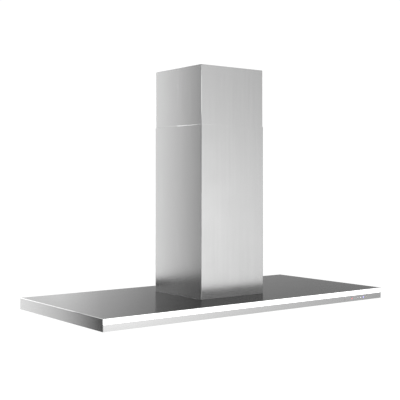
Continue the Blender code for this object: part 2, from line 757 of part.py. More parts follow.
def build_impeller(centre):
    """A drum of forward-curved blades between a back plate with a hub and a front ring."""
    half = IMPELLER_WIDTH / 2
    sheet_half = Vector((IMPELLER_SHEET / 2, 0, 0))
    end = Vector((half, 0, 0))
    plate_at = centre + end - sheet_half
    wheel = cylinder("impeller", IMPELLER_RADIUS, IMPELLER_SHEET, plate_at, "black_plastic", "X", BLADE_COUNT)
    bm = bmesh.new()
    length = IMPELLER_WIDTH - IMPELLER_SHEET
    middle = IMPELLER_RADIUS - BLADE_CHORD / 2
    for i in range(BLADE_COUNT):
        made = bmesh.ops.create_cube(bm, size=1.0)["verts"]
        bmesh.ops.scale(bm, vec=(length, BLADE_CHORD, BLADE_THICK), verts=made)
        bmesh.ops.rotate(bm, cent=(0, 0, 0), matrix=Matrix.Rotation(BLADE_TILT, 3, "X"), verts=made)
        bmesh.ops.translate(bm, vec=(0, middle, 0), verts=made)
        turn = Matrix.Rotation(2 * math.pi * (i + 0.5) / BLADE_COUNT, 3, "X")
        bmesh.ops.rotate(bm, cent=(0, 0, 0), matrix=turn, verts=made)
    blades = place("impeller_blades", mesh_from("impeller_blades", bm), centre, None)
    ring_at = centre - end + sheet_half
    ring = cylinder("impeller_ring", IMPELLER_RADIUS, IMPELLER_SHEET, ring_at, None, "X", BLADE_COUNT)
    inside = IMPELLER_RADIUS - BLADE_CHORD
    cut(ring, cylinder("impeller_ring_hole", inside, 3 * IMPELLER_SHEET, ring_at, None, "X", BLADE_COUNT))
    hub_length = half
    hub_at = centre + end - Vector((hub_length / 2, 0, 0))
    hub = cylinder("impeller_hub", HUB_RADIUS, hub_length, hub_at, axis="X", steps=16)
    join(wheel, blades, ring, hub)
    bore = SHAFT_RADIUS + FIT
    cut(wheel, cylinder("impeller_bore", bore, IMPELLER_WIDTH, hub_at, axis="X", steps=16))
    return wheel


def build_motor(centre):
    """The motor and its capacitor on the casing's right wall, and the shaft that runs into the motor."""
    face = SCROLL_WIDTH / 2 + FIT
    at = centre + Vector((face + MOTOR_LENGTH / 2, 0, 0))
    motor = cylinder("motor", MOTOR_RADIUS, MOTOR_LENGTH, at, "steel", axis="X", steps=32)
    mouth = centre + Vector((face, 0, 0))
    bore = SHAFT_RADIUS + FIT
    cut(motor, cylinder("motor_bore", bore, 2 * MOTOR_BORE_DEPTH, mouth, axis="X", steps=16))
    tip = IMPELLER_WIDTH / 2 - IMPELLER_SHEET
    start = tip - IMPELLER_WIDTH / 2
    end = face + MOTOR_BORE_DEPTH - FIT
    middle = centre + Vector(((start + end) / 2, 0, 0))
    shaft = cylinder("motor_shaft", SHAFT_RADIUS, end - start, middle, "steel", axis="X", steps=16)
    apart = (MOTOR_RADIUS + CAPACITOR_RADIUS + CAPACITOR_GAP) * math.sqrt(0.5)
    beside = centre + Vector((face + CAPACITOR_LENGTH / 2, apart, -apart))
    cylinder("run_capacitor", CAPACITOR_RADIUS, CAPACITOR_LENGTH, beside, "grey_plastic", "X", 16)
    return shaft


# ---- Outlet collar and backdraft flaps ----


def build_collar():
    """A flanged spigot for the duct, with a ledge inside that the flaps rest on."""
    inner = COLLAR_RADIUS - COLLAR_WALL
    ledge = inner - COLLAR_LEDGE
    profile = [
        (COLLAR_RADIUS, COLLAR_HEIGHT), (COLLAR_RADIUS, COLLAR_WALL), (COLLAR_FLANGE, COLLAR_WALL),
        (COLLAR_FLANGE, 0), (ledge, 0), (ledge, COLLAR_LEDGE_Z), (inner, COLLAR_LEDGE_Z),
        (inner, COLLAR_HEIGHT),
    ]
    collar = turned("outlet_collar", profile, (0, 0, COLLAR_BASE), "galvanised", steps=40)
    at = (0, 0, pin_height())
    cut(collar, cylinder("pin_holes", PIN_RADIUS + FIT, 3 * COLLAR_RADIUS, at, axis="X", steps=12))
    length = 2 * COLLAR_RADIUS - COLLAR_WALL
    cylinder("flap_pin", PIN_RADIUS, length, at, "steel", axis="X", steps=12)


def pin_height():
    return COLLAR_BASE + COLLAR_LEDGE_Z + FLAP_OVER_LEDGE + KNUCKLE_RADIUS


def knuckles(front):
    """The stretches of pin that a flap's knuckles wrap, as (low x, high x). The two flaps' take turns."""
    reach = COLLAR_RADIUS - COLLAR_WALL - 3 * FLAP_EDGE_GAP
    pitch = 2 * reach / 5
    stretches = [(-reach + i * pitch + FIT, -reach + (i + 1) * pitch - FIT) for i in range(5)]
    return stretches[1::2] if front else stretches[0::2]


def build_flap(name, sign):
    """A half disc with knuckles round the flap pin, and the pin's way through them."""
    height = pin_height()
    radius = COLLAR_RADIUS - COLLAR_WALL - FLAP_EDGE_GAP
    plate_z = height - KNUCKLE_RADIUS + FLAP_THICK / 2
    flap = cylinder(name, radius, FLAP_THICK, (0, 0, plate_z), "aluminium", steps=40)
    far = 2 * radius
    ys = sorted((sign * FLAP_CENTRE_GAP, -sign * far))
    cut(flap, block(f"{name}_other_half", (-far, ys[0], plate_z - BURIED), (far, ys[1], plate_z + BURIED)))
    for i, (low, high) in enumerate(knuckles(sign < 0)):
        at = ((low + high) / 2, 0, height)
        roll = cylinder(f"{name}_knuckle_{i}", KNUCKLE_RADIUS, high - low, at, None, "X", 12)
        ys = sorted((0, sign * (FLAP_CENTRE_GAP + BURIED)))
        leaf_low = plate_z - FLAP_THICK / 2
        leaf = block(f"{name}_leaf_{i}", (low, ys[0], leaf_low), (high, ys[1], leaf_low + FLAP_THICK))
        join(flap, roll, leaf)
    pin_way = cylinder(f"{name}_pin_way", PIN_RADIUS + FIT, 3 * radius, (0, 0, height), axis="X", steps=12)
    cut(flap, pin_way)
    return flap


def build_flaps():
    for name, sign in [("flap_front", -1), ("flap_back", 1)]:
        pivot(f"{name}_hinge", (0, 0, pin_height()), build_flap(name, sign))


# ---- Electrical parts ----


def build_control_box():
    """A shallow box on the left brace, its lid towards the duct, and the board inside."""
    deep, long, high = CONTROL_BOX
    outer = BASE_FRAME_SIDE / 2 - BRACE_SHEET - FIT
    low = MOTOR_BOX_TOP + BRACE_OVER_BOX - (high - BRACE_HEIGHT) / 2
    left = -outer
    right = left + deep
    side = long / 2
    top = low + high
    case = (left, -side, low), (right, side, top)
    sheet("control_box", *case, CONTROL_SHEET, ["right"], "grey_plastic")
    lid = (right + FIT, -side, low), (right + FIT + CONTROL_SHEET, side, top)
    block("control_lid", *lid, "grey_plastic")
    edge = CONTROL_SHEET + FIT
    board = (left + edge, edge - side, low + edge), (left + edge + BOARD_THICK, side - edge, top - edge)
    block("control_board", *board, "circuit_board")


def build_driver():
    """The lamps' driver, on the bottom panel between the two right-hand lamps."""
    x = CANOPY_WIDTH / 2 - LAMP_FROM_END
    box("led_driver", DRIVER, (x, 0, PANEL_TOP + FIT + DRIVER[2] / 2), "grey_plastic")


def build_junction_box():
    """The supply's box on the bracket's rear flange, and its cable gland."""
    wide, deep, high = JUNCTION_BOX
    back = POST_INNER - BRACKET_SHEET - FIT
    top = -BRACKET_SHEET - FIT
    block("junction_box", (-wide / 2, back - deep, top - high), (wide / 2, back, top), "grey_plastic")
    nut = GLAND_LENGTH / 3
    profile = [
        (GLAND_NUT_RADIUS, 0), (GLAND_NUT_RADIUS, -nut), (GLAND_RADIUS, -nut),
        (GLAND_RADIUS, -GLAND_LENGTH), (GLAND_BORE, -GLAND_LENGTH), (GLAND_BORE, 0),
    ]
    turned("cable_gland", profile, (0, back - deep / 2, top - high - FIT), "black_plastic", steps=12)


def main():
    for obj in list(bpy.data.objects):
        bpy.data.objects.remove(obj)
    build_ceiling_bracket()
    build_posts()
    build_base_frame()
    build_braces()
    build_covers()
    build_canopy_shell()
    build_light_bar()
    build_front_fascia()
    build_bottom_panel()
    for name, x, y in lamp_places():
        build_lamp(name, x, y)
    build_filters()
    build_motor_box()
    centre = build_scroll()
    pivot("impeller_spin", centre, build_impeller(centre), build_motor(centre))
    build_collar()
    build_flaps()
    build_control_box()
    build_driver()
    build_junction_box()


main()
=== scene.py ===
"""Looks of the island range hood: its finishes, its detailed pieces, the studio and the camera.

Metres, +Z up. The origin is the centre of the ceiling face, the front edge faces -Y and the touch
controls are near the +X end, as in the frame.
"""

import sys  # noqa: E702
import json
import logging
import math
from dataclasses import dataclass
from enum import Enum
from typing import Iterable, Sequence

import bmesh
import bpy
from mathutils import Matrix, Vector

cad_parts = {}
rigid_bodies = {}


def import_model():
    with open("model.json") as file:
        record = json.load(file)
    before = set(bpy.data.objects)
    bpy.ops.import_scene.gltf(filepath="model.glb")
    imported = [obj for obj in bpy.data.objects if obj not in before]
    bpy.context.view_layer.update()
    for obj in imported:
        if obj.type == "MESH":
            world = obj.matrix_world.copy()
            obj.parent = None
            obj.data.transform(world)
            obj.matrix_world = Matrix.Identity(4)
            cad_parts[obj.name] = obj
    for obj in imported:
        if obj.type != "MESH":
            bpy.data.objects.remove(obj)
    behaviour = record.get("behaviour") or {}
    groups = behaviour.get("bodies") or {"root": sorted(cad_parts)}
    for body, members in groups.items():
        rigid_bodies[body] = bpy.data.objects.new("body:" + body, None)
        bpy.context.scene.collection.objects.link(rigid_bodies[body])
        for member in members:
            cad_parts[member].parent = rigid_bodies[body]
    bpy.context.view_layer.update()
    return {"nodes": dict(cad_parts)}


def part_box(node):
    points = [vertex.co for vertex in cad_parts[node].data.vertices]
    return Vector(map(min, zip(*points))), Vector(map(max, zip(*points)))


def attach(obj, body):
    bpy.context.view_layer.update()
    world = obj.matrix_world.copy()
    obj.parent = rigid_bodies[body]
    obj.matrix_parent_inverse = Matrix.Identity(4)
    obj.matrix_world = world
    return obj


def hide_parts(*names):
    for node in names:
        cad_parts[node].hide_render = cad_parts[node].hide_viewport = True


for startup_object in list(bpy.data.objects):
    bpy.data.objects.remove(startup_object)
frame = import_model()

LOG = logging.getLogger("range_hood")
Colour = tuple[float, float, float]
Point = Sequence[float]
Mesh = bmesh.types.BMesh
Edge = bmesh.types.BMEdge
Vert = bmesh.types.BMVert
Socket = bpy.types.NodeSocket

# Body names, as the record gives them
HOOD = "hood"
LOWER_COVER = "lower_cover"
UPPER_COVER = "upper_cover"
IMPELLER = "impeller"

# Sheets and gaps that several sub-assemblies share
SHEET_CANOPY = 0.0012
SHEET_COVER = 0.0008
HOLD_STRIP = 0.0004
WELD = 1e-6
# A unit normal with a part beyond this counts as straight along that axis
STRAIGHT = 0.99
# The part of a noise's range that most of its values fall in
USUAL = (0.3, 0.7)


class Axis(Enum):
    """A direction of the frame, as a unit vector."""

    X = (1.0, 0.0, 0.0)
    Y = (0.0, 1.0, 0.0)
    Z = (0.0, 0.0, 1.0)

    @property
    def vector(self) -> Vector:
        """The direction as a Vector."""
        return Vector(self.value)


class Side(Enum):
    """Which of two mirrored pieces is meant, by its word."""

    LEFT = "left"
    RIGHT = "right"
    FRONT = "front"
    BACK = "back"

    @property
    def sign(self) -> int:
        """-1 for left and front, 1 for right and back."""
        return -1 if self in (Side.LEFT, Side.FRONT) else 1


# ---- Node graphs and finishes ----


class Graph:
    """A material's node tree, written by short calls."""

    def __init__(self, name: str) -> None:
        """Starts a material with one Principled shader.

        Args:
            name: The material's name.
        """
        self.material = bpy.data.materials.new(name)
        self.material.use_nodes = True
        self.tree = self.material.node_tree
        self.shader = self.tree.nodes["Principled BSDF"]
        self._place = self.tree.nodes.new("ShaderNodeTexCoord")

    def set(self, **values: object) -> None:
        """Sets the shader's own sockets. Underscores in a name stand for spaces."""
        for name, value in values.items():
            self.shader.inputs[name.replace("_", " ")].default_value = value

    def link(self, source: Socket, socket: str) -> None:
        """Joins an output to one of the shader's sockets."""
        self.tree.links.new(source, self.shader.inputs[socket])

    def coords(self, scale: Point = (1.0, 1.0, 1.0), turn: Point = (0.0, 0.0, 0.0)) -> Socket:
        """Object coordinates, stretched and turned.

        Args:
            scale: How much each axis is stretched.
            turn: Rotation about each axis, in radians.

        Returns:
            The Mapping node's output.
        """
        mapping = self.tree.nodes.new("ShaderNodeMapping")
        mapping.inputs["Scale"].default_value = scale
        mapping.inputs["Rotation"].default_value = turn
        self.tree.links.new(self._place.outputs["Object"], mapping.inputs["Vector"])
        return mapping.outputs["Vector"]

    def noise(self, coords: Socket, scale: float, detail: float = 3.0) -> Socket:
        """Noise from 0 to 1.

        Args:
            coords: Where it is read.
            scale: Blotches in a metre.
            detail: How many finer layers it has.

        Returns:
            The noise's value.
        """
        node = self.tree.nodes.new("ShaderNodeTexNoise")
        node.inputs["Scale"].default_value = scale
        node.inputs["Detail"].default_value = detail
        self.tree.links.new(coords, node.inputs["Vector"])
        return node.outputs["Fac"]

    def cells(self, coords: Socket, scale: float, feature: str = "F1") -> bpy.types.Node:
        """A Voronoi node, read at coords, with this many cells in a metre."""
        node = self.tree.nodes.new("ShaderNodeTexVoronoi")
        node.feature = feature
        node.inputs["Scale"].default_value = scale
        self.tree.links.new(coords, node.inputs["Vector"])
        return node

    def span(self, value: Socket, given: Point, wanted: Point) -> Socket:
        """Maps a value from one range to another, held at both ends.

        Args:
            value: What is mapped.
            given: Its low and high end.
            wanted: What those become.

        Returns:
            The mapped value.
        """
        node = self.tree.nodes.new("ShaderNodeMapRange")
        for name, number in zip(("From Min", "From Max", "To Min", "To Max"), (*given, *wanted)):
            node.inputs[name].default_value = number
        self.tree.links.new(value, node.inputs["Value"])
        return node.outputs["Result"]

    def math(self, kind: str, first: Socket, second: object) -> Socket:
        """One Math node.

        Args:
            kind: Its operation.
            first: Its first input.
            second: Its second input, a socket or a number.

        Returns:
            The result.
        """
        node = self.tree.nodes.new("ShaderNodeMath")
        node.operation = kind
        self.tree.links.new(first, node.inputs[0])
        if isinstance(second, (int, float)):
            node.inputs[1].default_value = second
        else:
            self.tree.links.new(second, node.inputs[1])
        return node.outputs[0]

    def blend(self, first: Socket, share: float, second: Socket, other_share: float) -> Socket:
        """Adds two values, each times its share."""
        first_part = self.math("MULTIPLY", first, share)
        return self.math("ADD", first_part, self.math("MULTIPLY", second, other_share))

    def ramp(self, value: Socket, stops: Iterable[tuple[float, Colour]]) -> Socket:
        """A colour for a value.

        Args:
            value: A value from 0 to 1.
            stops: Each stop's value and colour.

        Returns:
            The colour.
        """
        node = self.tree.nodes.new("ShaderNodeValToRGB")
        elements = node.color_ramp.elements
        for index, (place, colour) in enumerate(stops):
            stop = elements[index] if index < 2 else elements.new(place)
            stop.position = place
            stop.color = (*colour, 1.0)
        self.tree.links.new(value, node.inputs["Fac"])
        return node.outputs["Color"]

    def bump(self, height: Socket, depth: float, strength: float = 1.0) -> None:
        """Joins a height to the shader's normal.

        Args:
            height: The height, from 0 to 1.
            depth: What 1 is, in metres.
            strength: How much of it shows.
        """
        node = self.tree.nodes.new("ShaderNodeBump")
        node.inputs["Strength"].default_value = strength
        node.inputs["Distance"].default_value = depth
        self.tree.links.new(height, node.inputs["Height"])
        self.link(node.outputs["Normal"], "Normal")


def shade(colour: Colour, amount: float) -> Colour:
    """A colour made lighter or darker by a share."""
    return tuple(min(1.0, part * amount) for part in colour)


# Each finish's material, once it has been made
MADE: dict["Finish", bpy.types.Material] = {}


@dataclass(frozen=True)
class Finish:
    """A surface finish: its name, its colour and its gloss."""

    name: str
    colour: Colour
    roughness: float

    def material(self) -> bpy.types.Material:
        """The finish's material, made the first time it is asked for."""
        if self not in MADE:
            graph = Graph(f"{self.name}_finish")
            graph.set(Base_Color=(*self.colour, 1.0), Roughness=self.roughness)
            self.dress(graph)
            MADE[self] = graph.material
        return MADE[self]

    def dress(self, graph: Graph) -> None:
        """Adds the finish's pattern to its graph."""
        raise NotImplementedError

    def mottle(self, graph: Graph, value: Socket, swing: float) -> None:
        """Lets the colour vary with a value from 0 to 1, by a share either way."""
        stops = ((0.25, shade(self.colour, 1 - swing)), (0.75, shade(self.colour, 1 + swing)))
        graph.link(graph.ramp(value, stops), "Base Color")

    def gloss(self, graph: Graph, value: Socket, less: float, more: float, given: Point = USUAL) -> None:
        """Lets the roughness vary with a value.

        Args:
            graph: The finish's graph.
            value: What it follows.
            less: How far below the finish's roughness it goes.
            more: How far above.
            given: The values at which it is lowest and highest.
        """
        wanted = (self.roughness - less, self.roughness + more)
        graph.link(graph.span(value, given, wanted), "Roughness")


@dataclass(frozen=True)
class BrushedMetal(Finish):
    """Sheet metal ground in one direction, with faint smears where hands have wiped it."""

    grain: Axis = Axis.X
    lines_in_metre: float = 1400.0
    grain_depth: float = 0.000004
    grain_gloss: float = 0.03
    edge_tint: Colour = (1.0, 1.0, 1.0)

    def stretch(self, along: float) -> list[float]:
        """How coordinates are stretched: by a factor along the grain, and not across it."""
        return [along if axis is self.grain else 1.0 for axis in Axis]

    def dress(self, graph: Graph) -> None:
        """Long fine lines across the sheet, which vary gloss and height, and slow smears."""
        graph.set(Metallic=1.0, Specular_Tint=(*self.edge_tint, 1.0))
        lines = graph.noise(graph.coords(self.stretch(0.012)), self.lines_in_metre, 3.0)
        broad = graph.noise(graph.coords(self.stretch(0.024)), 120.0, 2.0)
        smears = graph.noise(graph.coords(), 9.0, 4.0)
        self.mottle(graph, graph.blend(lines, 0.5, broad, 0.5), 0.03)
        low, high = self.roughness - self.grain_gloss, self.roughness + self.grain_gloss
        gloss = graph.span(lines, USUAL, (low, high))
        worn = graph.span(smears, (0.35, 0.75), (0.0, 0.03))
        graph.link(graph.math("ADD", gloss, worn), "Roughness")
        graph.bump(lines, self.grain_depth, 0.4)


@dataclass(frozen=True)
class Galvanised(Finish):
    """Zinc-coated sheet with its frost-like spangle."""

    spangles_in_metre: float = 90.0

    def dress(self, graph: Graph) -> None:
        """Each spangle has its own grey and its own gloss."""
        graph.set(Metallic=1.0)
        bent = graph.noise(graph.coords(), 60.0, 2.0)
        cells = graph.cells(graph.coords(), self.spangles_in_metre)
        grey = graph.tree.nodes.new("ShaderNodeSeparateColor")
        graph.tree.links.new(cells.outputs["Color"], grey.inputs["Color"])
        tone = graph.blend(grey.outputs["Red"], 0.7, bent, 0.3)
        self.mottle(graph, tone, 0.14)
        self.gloss(graph, grey.outputs["Green"], 0.08, 0.1, (0.0, 1.0))
        graph.bump(tone, 0.00003, 0.3)


@dataclass(frozen=True)
class SatinMetal(Finish):
    """Anodised or machined metal with a fine even tooth and light handling marks."""

    tooth_in_metre: float = 2200.0
    swing: float = 0.05

    def dress(self, graph: Graph) -> None:
        """A fine tooth in the height, and blotches in colour and gloss."""
        graph.set(Metallic=1.0)
        tooth = graph.noise(graph.coords(), self.tooth_in_metre, 2.0)
        blotch = graph.noise(graph.coords(), 35.0, 4.0)
        self.mottle(graph, blotch, self.swing)
        self.gloss(graph, blotch, 0.05, 0.07)
        graph.bump(tooth, 0.00001, 0.5)


@dataclass(frozen=True)
class Moulded(Finish):
    """Moulded plastic with a spark-eroded grain."""

    grain_in_metre: float = 900.0
    grain_depth: float = 0.00004

    def dress(self, graph: Graph) -> None:
        """A pebbled height, with dust that dulls and lightens it slowly."""
        pebble = graph.cells(graph.coords(), self.grain_in_metre, "SMOOTH_F1").outputs["Distance"]
        dust = graph.noise(graph.coords(), 22.0, 5.0)
        self.mottle(graph, dust, 0.09)
        self.gloss(graph, dust, 0.04, 0.08)
        graph.bump(pebble, self.grain_depth, 0.35)


@dataclass(frozen=True)
class CircuitLaminate(Finish):
    """A printed board's lacquer, over tracks that show as lighter bands."""

    tracks_in_metre: float = 260.0

    def dress(self, graph: Graph) -> None:
        """Tracks from square cells' edges, which stand a little proud."""
        tracks = graph.cells(graph.coords(), self.tracks_in_metre)
        tracks.distance = "CHEBYCHEV"
        tracks.inputs["Randomness"].default_value = 0.55
        edges = graph.span(tracks.outputs["Distance"], (0.42, 0.5), (0.0, 1.0))
        graph.link(graph.ramp(edges, ((0.2, self.colour), (0.8, shade(self.colour, 2.1)))), "Base Color")
        specks = graph.noise(graph.coords(), 400.0, 2.0)
        self.gloss(graph, specks, 0.08, 0.08)
        graph.bump(edges, 0.00004, 0.5)


@dataclass(frozen=True)
class LitAcrylic(Finish):
    """Opal acrylic or frosted glass with light behind it."""

    glow: float = 1.0
    evenness: float = 0.98

    def dress(self, graph: Graph) -> None:
        """The light has a slow unevenness, and the skin a fine satin."""
        graph.set(Emission_Strength=self.glow, IOR=1.49, Coat_Weight=0.2, Coat_Roughness=0.2)
        cloud = graph.noise(graph.coords(), 14.0, 2.0)
        stops = ((0.3, shade(self.colour, self.evenness)), (0.7, self.colour))
        graph.link(graph.ramp(cloud, stops), "Emission Color")
        satin = graph.noise(graph.coords(), 700.0, 2.0)
        self.gloss(graph, satin, 0.05, 0.05)
        graph.bump(satin, 0.00001, 0.3)


@dataclass(frozen=True)
class SmokedGlass(Finish):
    """Dark touch glass, wiped and a little greasy."""

    def dress(self, graph: Graph) -> None:
        """Smears in the gloss, over a deep even colour."""
        graph.set(IOR=1.52, Coat_Weight=0.5, Coat_Roughness=0.08)
        smear = graph.noise(graph.coords(), 160.0, 4.0)
        self.mottle(graph, smear, 0.12)
        self.gloss(graph, smear, 0.0, 0.12, (0.35, 0.7))


# ---- Mesh work ----


def ride_piece(
    name: str, bm: Mesh, looks: Sequence[Finish], body: str,
    stands_for: Sequence[str] = (), crease: float = 35.0,
) -> bpy.types.Object:
    """Turns a bmesh into a finished piece that rides on a body.

    Args:
        name: The piece's name.
        bm: Its mesh, which is freed.
        looks: Its finishes, in the order of its material numbers.
        body: The body it rides on.
        stands_for: The frame's nodes that it replaces.
        crease: Edges sharper than this many degrees stay hard.

    Returns:
        The piece's object.
    """
    mesh = bpy.data.meshes.new(name)
    bm.to_mesh(mesh)
    bm.free()
    mesh.shade_smooth()
    mesh.set_sharp_from_angle(angle=math.radians(crease))
    for look in looks:
        mesh.materials.append(look.material())
    obj = bpy.data.objects.new(name, mesh)
    bpy.context.scene.collection.objects.link(obj)
    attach(obj, body)
    if stands_for:
        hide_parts(*stands_for)
    LOG.info("%s: %d faces", name, len(mesh.polygons))
    return obj


def towards(facing: Point, at: Point) -> Matrix:
    """The matrix that takes local +Z to a direction and the origin to a point."""
    return Matrix.Translation(at) @ Vector(facing).to_track_quat("Z", "Y").to_matrix().to_4x4()


def edges_of(verts: Sequence[Vert]) -> list[Edge]:
    """Every edge whose two ends are among the vertices, in the order of the vertices."""
    chosen = set(verts)
    found = dict.fromkeys(edge for vert in verts for edge in vert.link_edges)
    return [edge for edge in found if edge.verts[0] in chosen and edge.verts[1] in chosen]


def round_off(bm: Mesh, edges: Sequence[Edge], width: float, steps: int = 2) -> None:
    """Rounds edges by a width, in so many steps."""
    bmesh.ops.bevel(
        bm, geom=list(edges), offset=width, offset_type="OFFSET", segments=steps, profile=0.5,
        affect="EDGES", material=-1, clamp_overlap=True,
    )


def hold_flats(bm: Mesh, least_area: float) -> None:
    """Gives each large flat face a narrow border, so that its shading stays flat up to its bends."""
    flats = [face for face in bm.faces if face.calc_area() > least_area]
    bmesh.ops.inset_individual(bm, faces=flats, thickness=HOLD_STRIP, use_even_offset=True)


def add_block(
    bm: Mesh, low: Point, high: Point, rounding: float = 0.0, steps: int = 2
) -> None:
    """Adds a block between two corners, with rounded edges.

    Args:
        bm: The mesh it joins.
        low: Its lowest corner.
        high: Its highest corner.
        rounding: The radius of its edges.
        steps: Steps in each rounding.
    """
    low, high = Vector(low), Vector(high)
    verts = bmesh.ops.create_cube(bm, size=1.0)["verts"]
    bmesh.ops.scale(bm, vec=high - low, verts=verts)
    bmesh.ops.translate(bm, vec=(low + high) / 2, verts=verts)
    if rounding:
        round_off(bm, edges_of(verts), rounding, steps)


def add_rod(
    bm: Mesh, start: Point, end: Point, radius: float, steps: int = 24, rounding: float = 0.0
) -> None:
    """Adds a rod between two points.

    Args:
        bm: The mesh it joins.
        start: The middle of its first face.
        end: The middle of its last face.
        radius: Its radius.
        steps: Sides round it.
        rounding: The radius of its two rims.
    """
    start, end = Vector(start), Vector(end)
    made = bmesh.ops.create_cone(
        bm, cap_ends=True, segments=steps, radius1=radius, radius2=radius,
        depth=(end - start).length, matrix=towards(end - start, (start + end) / 2),
    )["verts"]
    if rounding:
        rims = [edge for edge in edges_of(made) if any(len(face.verts) > 4 for face in edge.link_faces)]
        round_off(bm, rims, rounding)


def add_turned(
    bm: Mesh, outline: Sequence[tuple[float, float]], at: Point, facing: Point = (0, 0, 1),
    steps: int = 48, closed: bool = True,
) -> None:
    """Adds a (radius, height) outline turned round an axis.

    Args:
        bm: The mesh it joins.
        outline: The points of the outline.
        at: Where radius 0 and height 0 are.
        facing: The direction of the axis.
        steps: Steps in the turn.
        closed: Whether the outline's last point joins its first.
    """
    part = bmesh.new()
    verts = [part.verts.new((radius, 0.0, height)) for radius, height in outline]
    ends = list(zip(verts, verts[1:])) + ([(verts[-1], verts[0])] if closed else [])
    edges = [part.edges.new(pair) for pair in ends if max(pair[0].co.x, pair[1].co.x) > WELD]
    bmesh.ops.spin(
        part, geom=verts + edges, cent=(0, 0, 0), axis=(0, 0, 1), angle=2 * math.pi, steps=steps,
        use_merge=True,
    )
    bmesh.ops.remove_doubles(part, verts=part.verts, dist=WELD)
    bmesh.ops.recalc_face_normals(part, faces=part.faces)
    bmesh.ops.transform(part, matrix=towards(facing, at), verts=part.verts)
    merge(bm, part)


def round_spots(count: int, radius: float, first: float = 0.0) -> list[tuple[float, float]]:
    """Points at even steps round a circle.

    Args:
        count: How many points.
        radius: The circle's radius.
        first: The first point's angle, in radians.

    Returns:
        Each point's two offsets from the middle.
    """
    angles = [first + 2 * math.pi * index / count for index in range(count)]
    return [(radius * math.cos(angle), radius * math.sin(angle)) for angle in angles]


def merge(bm: Mesh, part: Mesh) -> None:
    """Adds one bmesh to another and frees it."""
    carrier = bpy.data.meshes.new("carrier")
    part.to_mesh(carrier)
    part.free()
    bm.from_mesh(carrier)
    bpy.data.meshes.remove(carrier)


def paint(bm: Mesh, part: Mesh, number: int) -> None:
    """Gives every face of a bmesh one material number, then adds it to another and frees it."""
    for face in part.faces:
        face.material_index = number
    merge(bm, part)


def add_screw(bm: Mesh, at: Point, facing: Point, radius: float = 0.0032) -> None:
    """Adds a pan-head screw with a round socket.

    Args:
        bm: The mesh it joins.
        at: The middle of its bearing face.
        facing: The way its head points.
        radius: Its head's radius.
    """
    high = radius * 0.62
    socket = radius * 0.42
    outline = [
        (0.0, 0.0), (radius, 0.0), (radius, high * 0.45), (radius * 0.8, high * 0.85), (radius * 0.55, high),
        (socket, high), (socket * 0.9, high * 0.35), (0.0, high * 0.3),
    ]
    add_turned(bm, outline, at, facing, steps=12)


def add_bolt(bm: Mesh, at: Point, facing: Point, across: float = 0.010) -> None:
    """Adds a hexagon bolt head on its washer.

    Args:
        bm: The mesh it joins.
        at: The middle of the washer's bearing face.
        facing: The way its head points.
        across: The head's width across its corners.
    """
    out = Vector(facing).normalized()
    washer = 0.0012
    add_rod(bm, at, Vector(at) + out * washer, across * 0.62, 20, 0.0002)
    add_rod(bm, Vector(at) + out * washer, Vector(at) + out * (washer + across * 0.4), across / 2, 6, 0.0004)


def formed(
    node: str, look: Finish, body: str, rounding: float, crease: float = 40.0
) -> bpy.types.Object:
    """A frame node with its edges rounded, in a finish of its own.

    Args:
        node: The node's name.
        look: Its finish.
        body: The body it rides on.
        rounding: The radius of its edges.
        crease: Edges sharper than this many degrees are rounded.

    Returns:
        The piece that stands for the node.
    """
    bm = bmesh.new()
    bm.from_mesh(frame["nodes"][node].data)
    bmesh.ops.remove_doubles(bm, verts=bm.verts, dist=WELD)
    bmesh.ops.dissolve_limit(bm, angle_limit=math.radians(0.5), verts=bm.verts, edges=bm.edges)
    sharp = [
        edge for edge in bm.edges
        if len(edge.link_faces) == 2 and edge.calc_face_angle(0.0) > math.radians(crease)
    ]
    round_off(bm, sharp, rounding)
    obj = ride_piece(f"{node}_formed", bm, [look], body, [node], 50.0)
    even = obj.modifiers.new("even_shading", "WEIGHTED_NORMAL")
    even.keep_sharp = True
    return obj


# ---- Finishes of this hood ----

COVER_STEEL = BrushedMetal("cover_steel", (0.62, 0.62, 0.62), 0.20, grain=Axis.Z)
CANOPY_STEEL = BrushedMetal("canopy_steel", (0.62, 0.62, 0.62), 0.13, grain=Axis.X)
# Painted shade: the top is the same sheet as the canopy steel, given a darker colour and a dark edge tint so
# that it reads darker from above and reflects darker in the chimney's foot
SHADED_TOP_STEEL = BrushedMetal(
    "canopy_top_painted_shade_steel", (0.50, 0.50, 0.50), 0.16, grain=Axis.X, edge_tint=(0.22, 0.22, 0.22)
)
PANEL_STEEL = BrushedMetal("panel_steel", (0.60, 0.60, 0.60), 0.24, grain=Axis.X)
TRIM_STEEL = SatinMetal("lamp_trim_steel", (0.66, 0.66, 0.66), 0.20, swing=0.03)
PLAIN_STEEL = SatinMetal("plain_steel", (0.55, 0.55, 0.56), 0.28)
MOTOR_STEEL = SatinMetal("motor_steel", (0.40, 0.40, 0.41), 0.36, swing=0.08)
BRASS = SatinMetal("terminal_brass", (0.72, 0.53, 0.26), 0.30)
FILTER_ALUMINIUM = SatinMetal("filter_aluminium", (0.74, 0.75, 0.76), 0.33)
MESH_ALUMINIUM = SatinMetal("mesh_aluminium", (0.62, 0.63, 0.64), 0.30, swing=0.04)
DRAWN_ALUMINIUM = SatinMetal("drawn_aluminium", (0.72, 0.73, 0.74), 0.38)
GALVANISED_SHEET = Galvanised("galvanised_sheet", (0.56, 0.58, 0.59), 0.38)
BLACK_MOULDING = Moulded("black_moulding", (0.022, 0.022, 0.024), 0.42)
GREY_MOULDING = Moulded("grey_moulding", (0.30, 0.31, 0.32), 0.48)
GREEN_BOARD = CircuitLaminate("green_board", (0.012, 0.100, 0.045), 0.36)
WHITE_BOARD = CircuitLaminate("white_board", (0.42, 0.42, 0.40), 0.36)
PHOSPHOR = Moulded("diode_phosphor", (0.80, 0.62, 0.12), 0.50)
TOUCH_GLASS = SmokedGlass("touch_glass", (0.42, 0.42, 0.43), 0.14)
OPAL = LitAcrylic("opal_bar", (1.0, 1.0, 1.0), 0.30, glow=1.6)
LAMP_GLASS = LitAcrylic("lamp_glass", (1.0, 0.94, 0.84), 0.28, glow=2.2)
